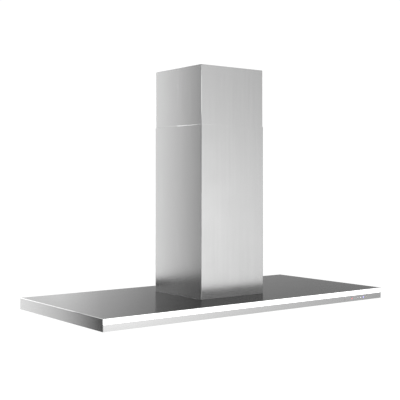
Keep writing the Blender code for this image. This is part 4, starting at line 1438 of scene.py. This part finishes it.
@dataclass
class Outlet:
    """The duct's spigot with its bead and flange, and the two flaps on their pin."""

    bead: float = 0.0009
    flange_sheet: float = 0.001
    ledge: float = 0.004
    screw_count: int = 8
    rib_x: float = 0.030
    # How far from the pin each rib starts and ends
    rib_reach: tuple[float, float] = (0.014, 0.056)

    def build(self) -> None:
        """Builds the spigot, the flaps and the pin."""
        low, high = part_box("outlet_collar")
        at = (0.0, 0.0, low.z)
        flange = high.x
        tall = high.z - low.z
        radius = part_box("flap_pin")[1].x + 0.0005
        inner = radius - self.flange_sheet
        bead_at = tall - 0.014
        shoulder = radius + self.bead * 0.7
        spigot = [
            (inner, tall), (radius, tall), (radius, bead_at + 0.003), (shoulder, bead_at + 0.0018),
            (radius + self.bead, bead_at), (shoulder, bead_at - 0.0018), (radius, bead_at - 0.003),
            (radius, 0.0030), (radius + 0.0006, 0.0016), (radius + 0.0020, self.flange_sheet),
            (flange - 0.0003, self.flange_sheet), (flange, self.flange_sheet / 2), (flange - 0.0003, 0.0),
            (inner - self.ledge, 0.0), (inner - self.ledge, self.ledge), (inner, self.ledge),
        ]
        bm = bmesh.new()
        add_turned(bm, spigot, at, (0, 0, 1), 80)
        ride_piece("duct_spigot", bm, [GALVANISED_SHEET], HOOD, ["outlet_collar"], 30.0)
        bm = bmesh.new()
        for x, y in round_spots(self.screw_count, (radius + flange) / 2, math.pi / self.screw_count):
            add_screw(bm, (x, y, low.z + self.flange_sheet), (0, 0, 1), 0.0032)
        ride_piece("spigot_screws", bm, [PLAIN_STEEL], HOOD)
        for side in (Side.FRONT, Side.BACK):
            self.build_flap(side)
        low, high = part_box("flap_pin")
        bm = bmesh.new()
        middle = (low + high) / 2
        add_rod(bm, (low.x, 0, middle.z), (high.x, 0, middle.z), (high.z - low.z) / 2, 24, 0.0003)
        ride_piece("hinge_pin", bm, [PLAIN_STEEL], HOOD, ["flap_pin"])

    def build_flap(self, side: Side) -> None:
        """One flap, and the two ribs pressed in it."""
        body = f"flap_{side.value}"
        formed(body, DRAWN_ALUMINIUM, body, 0.0002, 45.0)
        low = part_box(body)[0]
        top = low.z + 0.001
        bm = bmesh.new()
        for x in (-self.rib_x, self.rib_x):
            start, end = ((x, side.sign * reach, top) for reach in self.rib_reach)
            add_rod(bm, start, end, 0.0012, 12, 0.0003)
        ride_piece(f"{body}_ribs", bm, [DRAWN_ALUMINIUM], body)


# ---- Electrical parts ----


@dataclass
class Electrics:
    """The control box with its board, the lamps' driver, and the supply's box with its gland."""

    screw_inset: float = 0.007
    louvres: int = 8
    louvre_pitch: float = 0.0065
    relays: int = 4
    relay_pitch: float = 0.021
    terminals: int = 6
    terminal_pitch: float = 0.0185
    terminal_depth: float = 0.011
    driver_fins: int = 9
    driver_fin_pitch: float = 0.0115
    lid_depth: float = 0.006
    gland_ribs: int = 12
    gland_rib_ring: float = 0.0094

    def build(self) -> None:
        """Builds every electrical piece."""
        self.build_control_box()
        self.build_control_board()
        self.build_driver()
        self.build_junction_box()

    def build_control_box(self) -> None:
        """The case and its lid, with a screw at each of the lid's corners."""
        formed("control_box", GREY_MOULDING, HOOD, 0.0003)
        formed("control_lid", GREY_MOULDING, HOOD, 0.0004)
        low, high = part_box("control_lid")
        bm = bmesh.new()
        for y in (low.y + self.screw_inset, high.y - self.screw_inset):
            for z in (low.z + self.screw_inset, high.z - self.screw_inset):
                add_screw(bm, (high.x, y, z), (1, 0, 0), 0.0030)
        ride_piece("lid_screws", bm, [PLAIN_STEEL], HOOD)
        bm = bmesh.new()
        for index in range(self.louvres):
            z = low.z + 0.035 + index * self.louvre_pitch
            add_block(bm, (high.x, -0.030, z), (high.x + 0.0008, 0.030, z + 0.0022), 0.0003, 1)
        ride_piece("lid_louvres", bm, [GREY_MOULDING], HOOD)

    def build_control_board(self) -> None:
        """The board with its relays, transformer, capacitors, chip and terminals."""
        low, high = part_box("control_board")
        face = high.x
        bm = bmesh.new()
        add_block(bm, low, high, 0.0002, 1)
        dark = bmesh.new()
        pale = bmesh.new()
        bright = bmesh.new()
        for index in range(self.relays):
            y = -0.060 + index * self.relay_pitch
            add_block(dark, (face, y, low.z + 0.070), (face + 0.0155, y + 0.015, low.z + 0.092), 0.0006)
        add_block(dark, (face, -0.020, low.z + 0.035), (face + 0.0030, 0.010, low.z + 0.043), 0.0003)
        add_block(pale, (face, 0.030, low.z + 0.055), (face + 0.022, 0.060, low.z + 0.088), 0.0010)
        for index in range(self.terminals):
            y = -0.062 + index * self.terminal_pitch
            out = face + self.terminal_depth
            add_block(pale, (face, y, low.z + 0.006), (out, y + 0.015, low.z + 0.018), 0.0005)
            head = Vector((out, y + 0.0075, low.z + 0.012))
            add_rod(bright, head, head + Vector((0.0002, 0, 0)), 0.0026, 12)
        for y, radius in ((0.020, 0.0050), (-0.045, 0.0040), (-0.057, 0.0040)):
            add_rod(dark, (face, y, low.z + 0.050), (face + 0.014, y, low.z + 0.050), radius, 20, 0.0006)
        paint(bm, dark, 1)
        paint(bm, pale, 2)
        paint(bm, bright, 3)
        looks = [GREEN_BOARD, BLACK_MOULDING, GREY_MOULDING, BRASS]
        ride_piece("control_circuit", bm, looks, HOOD, ["control_board"])

    def build_driver(self) -> None:
        """A finned case with a terminal hood at each end."""
        low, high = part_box("led_driver")
        bm = bmesh.new()
        add_block(bm, low, (high.x, high.y, high.z - 0.0012), 0.0012, 3)
        for index in range(self.driver_fins):
            y = low.y + 0.034 + index * self.driver_fin_pitch
            add_block(bm, (low.x + 0.004, y, high.z - 0.0020), (high.x - 0.004, y + 0.004, high.z), 0.0004, 1)
        for y in (low.y + 0.012, high.y - 0.012):
            hood_low = (low.x + 0.006, y - 0.009, high.z - 0.0020)
            add_block(bm, hood_low, (high.x - 0.006, y + 0.009, high.z), 0.0006)
        ride_piece("lamp_driver", bm, [GREY_MOULDING], HOOD, ["led_driver"])

    def build_junction_box(self) -> None:
        """The supply's box with its proud lid and screws, and the gland under it."""
        low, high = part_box("junction_box")
        bm = bmesh.new()
        seam = low.y + self.lid_depth
        inset = 0.0006
        add_block(bm, (low.x, seam, low.z), high, 0.0015, 3)
        neck_low = (low.x + inset, seam - 0.0008, low.z + inset)
        add_block(bm, neck_low, (high.x - inset, seam + 0.001, high.z - inset))
        add_block(bm, low, (high.x, seam - 0.0008, high.z), 0.0012, 3)
        ride_piece("supply_box", bm, [GREY_MOULDING], HOOD, ["junction_box"])
        bm = bmesh.new()
        for x in (low.x + self.screw_inset, high.x - self.screw_inset):
            for z in (low.z + self.screw_inset, high.z - self.screw_inset):
                add_screw(bm, (x, low.y, z), (0, -1, 0), 0.0030)
        ride_piece("supply_box_screws", bm, [PLAIN_STEEL], HOOD)
        low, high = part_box("cable_gland")
        middle = (low + high) / 2
        tall = high.z - low.z
        bm = bmesh.new()
        add_rod(bm, (middle.x, middle.y, high.z), (middle.x, middle.y, high.z - tall / 3), 0.011, 6, 0.0005)
        nut = tall / 3
        dome = [
            (0.0042, nut - 0.001), (0.0080, nut - 0.001), (0.0080, nut + 0.0008), (0.0096, nut + 0.0012),
            (0.0096, tall * 0.72), (0.0088, tall * 0.84), (0.0070, tall * 0.95), (0.0052, tall),
            (0.0042, tall - 0.0004),
        ]
        add_turned(bm, dome, (middle.x, middle.y, high.z), (0, 0, -1), 36)
        for across, along in round_spots(self.gland_ribs, self.gland_rib_ring):
            x, y = middle.x + across, middle.y + along
            add_rod(bm, (x, y, high.z - tall * 0.42), (x, y, high.z - tall * 0.70), 0.0008, 8)
        ride_piece("supply_gland", bm, [BLACK_MOULDING], HOOD, ["cable_gland"])


# ---- Studio and camera ----


@dataclass
class Studio:
    """A pale floor, a soft gradient of light all round, and two cards that the steel reflects."""

    floor_z: float = -2.4
    floor_radius: float = 6.0
    floor_glow: float = 0.80
    card_y: float = 2.2
    card_low: float = -1.5
    card_high: float = 0.9
    flag_width: float = 1.0
    # The back card's level at points along X
    card_levels: tuple[tuple[float, float], ...] = (
        (-2.10, 0.00), (-1.99, 0.05), (-1.93, 0.35), (-1.88, 0.54), (-1.75, 0.78), (-1.50, 1.14),
        (0.30, 3.35), (0.55, 3.30), (0.85, 2.00), (1.20, 1.25), (2.70, 0.98), (4.50, 0.90),
    )
    # The sky's level at compass directions: 0 is to the front, 90 to the right, in degrees
    sky_levels: tuple[tuple[float, float], ...] = (
        (-180, 0.50), (-120, 0.30), (-60, 0.20), (-20, 0.25), (-12, 0.70), (12, 0.70), (20, 0.60),
        (25, 1.50), (30, 2.10), (37, 1.60), (41, 1.28), (45, 1.06), (49, 0.76), (55, 0.55), (90, 0.55),
        (110, 0.45), (180, 0.50),
    )
    # What the sky's level is multiplied by at heights from straight down, -1, to straight up, 1
    dip_levels: tuple[tuple[float, float], ...] = (
        (-1.0, 0.70), (-0.25, 0.70), (-0.17, 0.82), (-0.08, 1.08), (-0.03, 1.05), (0.04, 0.86),
        (0.11, 0.68), (0.3, 0.60), (1.0, 0.60),
    )
    overhead: float = 1.7
    # No level in the tables may be above this
    most: float = 4.0
    # The camera's X and Y, and its height above the canopy; its turn from +Y, in degrees
    camera_at: tuple[float, float, float] = (-1.8185, -2.3585, 0.3932)
    camera_turn: float = -37.03
    lens_length: float = 74.81
    lens_shift: float = -0.0436
    sensor: float = 36.0
    # Black flags level with the canopy top: name, low x and y, high x and y
    table_flags: tuple[tuple[str, float, float, float, float], ...] = (
        ("flag_behind", -0.75, 0.281, -0.15, 0.470), ("flag_in_front", -0.16, -0.375, 0.45, -0.281),
    )

    def build(self) -> None:
        """Builds the world, the floor, the cards and the camera."""
        self.build_world()
        self.build_floor()
        self.build_cards()
        self.build_camera()

    def levels(
        self, tree: bpy.types.NodeTree, value: Socket, stops: Sequence[tuple[float, float]]
    ) -> Socket:
        """A brightness that follows a value through stops.

        Args:
            tree: The node tree it is made in.
            value: What it follows.
            stops: Each stop's value and level.

        Returns:
            The level.
        """
        first, last = stops[0][0], stops[-1][0]
        share = tree.nodes.new("ShaderNodeMapRange")
        share.inputs["From Min"].default_value = first
        share.inputs["From Max"].default_value = last
        tree.links.new(value, share.inputs["Value"])
        curve = tree.nodes.new("ShaderNodeFloatCurve")
        points = curve.mapping.curves[0].points
        for index, (place, level) in enumerate(stops):
            spot = ((place - first) / (last - first), level / self.most)
            if index in (0, 1):
                points[index].location = spot
            else:
                points.new(*spot)
        for point in points:
            point.handle_type = "VECTOR"
        curve.mapping.update()
        tree.links.new(share.outputs["Result"], curve.inputs["Value"])
        scaled = tree.nodes.new("ShaderNodeMath")
        scaled.operation = "MULTIPLY"
        scaled.inputs[1].default_value = self.most
        tree.links.new(curve.outputs["Value"], scaled.inputs[0])
        return scaled.outputs[0]

    def build_world(self) -> None:
        """A sky whose level follows the compass direction and the height, and white behind the hood."""
        world = bpy.data.worlds.new("studio_sky")
        bpy.context.scene.world = world
        world.use_nodes = True
        tree = world.node_tree
        tree.nodes.clear()
        make = tree.nodes.new
        place = make("ShaderNodeTexCoord")
        split = make("ShaderNodeSeparateXYZ")
        tree.links.new(place.outputs["Generated"], split.inputs[0])
        ahead = make("ShaderNodeMath")
        ahead.operation = "MULTIPLY"
        ahead.inputs[1].default_value = -1.0
        tree.links.new(split.outputs["Y"], ahead.inputs[0])
        compass = make("ShaderNodeMath")
        compass.operation = "ARCTAN2"
        tree.links.new(split.outputs["X"], compass.inputs[0])
        tree.links.new(ahead.outputs[0], compass.inputs[1])
        degrees = make("ShaderNodeMath")
        degrees.operation = "MULTIPLY"
        degrees.inputs[1].default_value = 180 / math.pi
        tree.links.new(compass.outputs[0], degrees.inputs[0])
        ring = self.levels(tree, degrees.outputs[0], self.sky_levels)
        dip = self.levels(tree, split.outputs["Z"], self.dip_levels)
        band = make("ShaderNodeMath")
        band.operation = "MULTIPLY"
        tree.links.new(ring, band.inputs[0])
        tree.links.new(dip, band.inputs[1])
        rise = make("ShaderNodeMapRange")
        rise.interpolation_type = "SMOOTHSTEP"
        for name, number in (("From Min", 0.3), ("From Max", 0.7), ("To Min", 0.0), ("To Max", 1.0)):
            rise.inputs[name].default_value = number
        tree.links.new(split.outputs["Z"], rise.inputs["Value"])
        blend = make("ShaderNodeMix")
        tree.links.new(rise.outputs["Result"], blend.inputs["Factor"])
        tree.links.new(band.outputs[0], blend.inputs["A"])
        blend.inputs["B"].default_value = self.overhead
        seen = make("ShaderNodeLightPath")
        light = make("ShaderNodeBackground")
        tree.links.new(blend.outputs["Result"], light.inputs["Strength"])
        plain = make("ShaderNodeBackground")
        plain.inputs["Color"].default_value = (1, 1, 1, 1)
        plain.inputs["Strength"].default_value = 1.05
        choice = make("ShaderNodeMixShader")
        tree.links.new(seen.outputs["Is Camera Ray"], choice.inputs["Fac"])
        tree.links.new(light.outputs[0], choice.inputs[1])
        tree.links.new(plain.outputs[0], choice.inputs[2])
        output = make("ShaderNodeOutputWorld")
        tree.links.new(choice.outputs[0], output.inputs["Surface"])

    def stage_mesh(self, name: str, bm: Mesh, material: bpy.types.Material) -> bpy.types.Object:
        """A mesh that belongs to the studio and not to the hood."""
        mesh = bpy.data.meshes.new(name)
        bm.to_mesh(mesh)
        bm.free()
        mesh.materials.append(material)
        obj = bpy.data.objects.new(name, mesh)
        bpy.context.scene.collection.objects.link(obj)
        return obj

    def build_floor(self) -> None:
        """A round pale floor, a little lighter than the light on it makes it."""
        graph = Graph("pale_floor")
        tone = graph.noise(graph.coords(), 0.7, 2.0)
        graph.link(graph.ramp(tone, ((0.3, (0.44, 0.44, 0.44)), (0.7, (0.48, 0.48, 0.48)))), "Base Color")
        graph.set(Roughness=0.9, Emission_Color=(1, 1, 1, 1), Specular_IOR_Level=0.1)
        seen = graph.tree.nodes.new("ShaderNodeLightPath")
        glow = graph.span(seen.outputs["Is Camera Ray"], (0, 1), (0.0, self.floor_glow))
        graph.link(glow, "Emission Strength")
        bm = bmesh.new()
        spot = Matrix.Translation((0, 0, self.floor_z))
        bmesh.ops.create_circle(bm, cap_ends=True, segments=96, radius=self.floor_radius, matrix=spot)
        self.stage_mesh("floor", bm, graph.material)

    def build_cards(self) -> None:
        """The bright card behind the hood, the black flag at its left end and the two level flags."""
        left, right = self.card_levels[0][0], self.card_levels[-1][0]
        size = Vector((right - left, self.card_high - self.card_low, 1.0))
        middle = Vector(((left + right) / 2, self.card_y, (self.card_low + self.card_high) / 2))
        self.add_card("back_card", size, towards((0, -1, 0), middle), True)
        flag = Vector((self.flag_width, size.y, 1.0))
        at = Vector((left - self.flag_width / 2, self.card_y, middle.z))
        self.add_card("black_flag", flag, towards((0, -1, 0), at), False)
        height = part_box("canopy_shell")[1].z - SHEET_CANOPY
        for name, low_x, low_y, high_x, high_y in self.table_flags:
            at = Vector(((low_x + high_x) / 2, (low_y + high_y) / 2, height))
            size = Vector((high_x - low_x, high_y - low_y, 1.0))
            self.add_card(name, size, Matrix.Translation(at), False)

    def add_card(self, name: str, size: Vector, place: Matrix, lit: bool) -> None:
        """A card that only reflections see.

        Args:
            name: Its name.
            size: How long it is along its own X and Y.
            place: Where its middle is, and how it is turned.
            lit: Whether it glows by the card's levels, or is black.
        """
        material = bpy.data.materials.new(name)
        material.use_nodes = True
        tree = material.node_tree
        tree.nodes.clear()
        glow = tree.nodes.new("ShaderNodeEmission")
        glow.inputs["Strength"].default_value = 0.02
        if lit:
            coords = tree.nodes.new("ShaderNodeTexCoord")
            split = tree.nodes.new("ShaderNodeSeparateXYZ")
            tree.links.new(coords.outputs["Object"], split.inputs[0])
            tree.links.new(self.levels(tree, split.outputs["X"], self.card_levels), glow.inputs["Strength"])
        clear = tree.nodes.new("ShaderNodeBsdfTransparent")
        side = tree.nodes.new("ShaderNodeNewGeometry")
        choice = tree.nodes.new("ShaderNodeMixShader")
        tree.links.new(side.outputs["Backfacing"], choice.inputs["Fac"])
        tree.links.new(glow.outputs[0], choice.inputs[1])
        tree.links.new(clear.outputs[0], choice.inputs[2])
        output = tree.nodes.new("ShaderNodeOutputMaterial")
        tree.links.new(choice.outputs[0], output.inputs["Surface"])
        bm = bmesh.new()
        bmesh.ops.create_grid(bm, x_segments=1, y_segments=1, size=0.5)
        bmesh.ops.scale(bm, vec=size, verts=bm.verts)
        bmesh.ops.transform(bm, matrix=place, verts=bm.verts)
        card = self.stage_mesh(name, bm, material)
        card.visible_camera = False
        card.visible_shadow = False
        card.visible_diffuse = lit

    def build_camera(self) -> None:
        """A level camera in front and to the left, a little above the canopy, aimed at the hood."""
        canopy_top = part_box("canopy_shell")[1].z
        lens = bpy.data.cameras.new("camera")
        lens.sensor_width = self.sensor
        lens.lens = self.lens_length
        lens.shift_y = self.lens_shift
        camera = bpy.data.objects.new("camera", lens)
        x, y, above = self.camera_at
        camera.location = (x, y, canopy_top + above)
        camera.rotation_euler = (math.radians(90), 0.0, math.radians(self.camera_turn))
        bpy.context.scene.collection.objects.link(camera)
        bpy.context.scene.camera = camera
        bpy.context.scene.view_settings.view_transform = "Standard"


def main() -> None:
    """Builds the studio and its camera, then each sub-assembly in order."""
    logging.basicConfig(level=logging.INFO, format="%(name)s %(message)s", stream=sys.stdout)
    Studio().build()
    DuctCovers().build()
    CanopySkin().build()
    FrontEdge().build()
    LightBar().build()
    TouchControls().build()
    Underside().build()
    for fore in (Side.FRONT, Side.BACK):
        for side in (Side.LEFT, Side.RIGHT):
            Lamp(f"{fore.value}_{side.value}").build()
    for name in ("left", "middle", "right"):
        GreaseFilter(name).build()
    CeilingFrame().build()
    Blower().build()
    Outlet().build()
    Electrics().build()


if __name__ == "__main__":
    main()
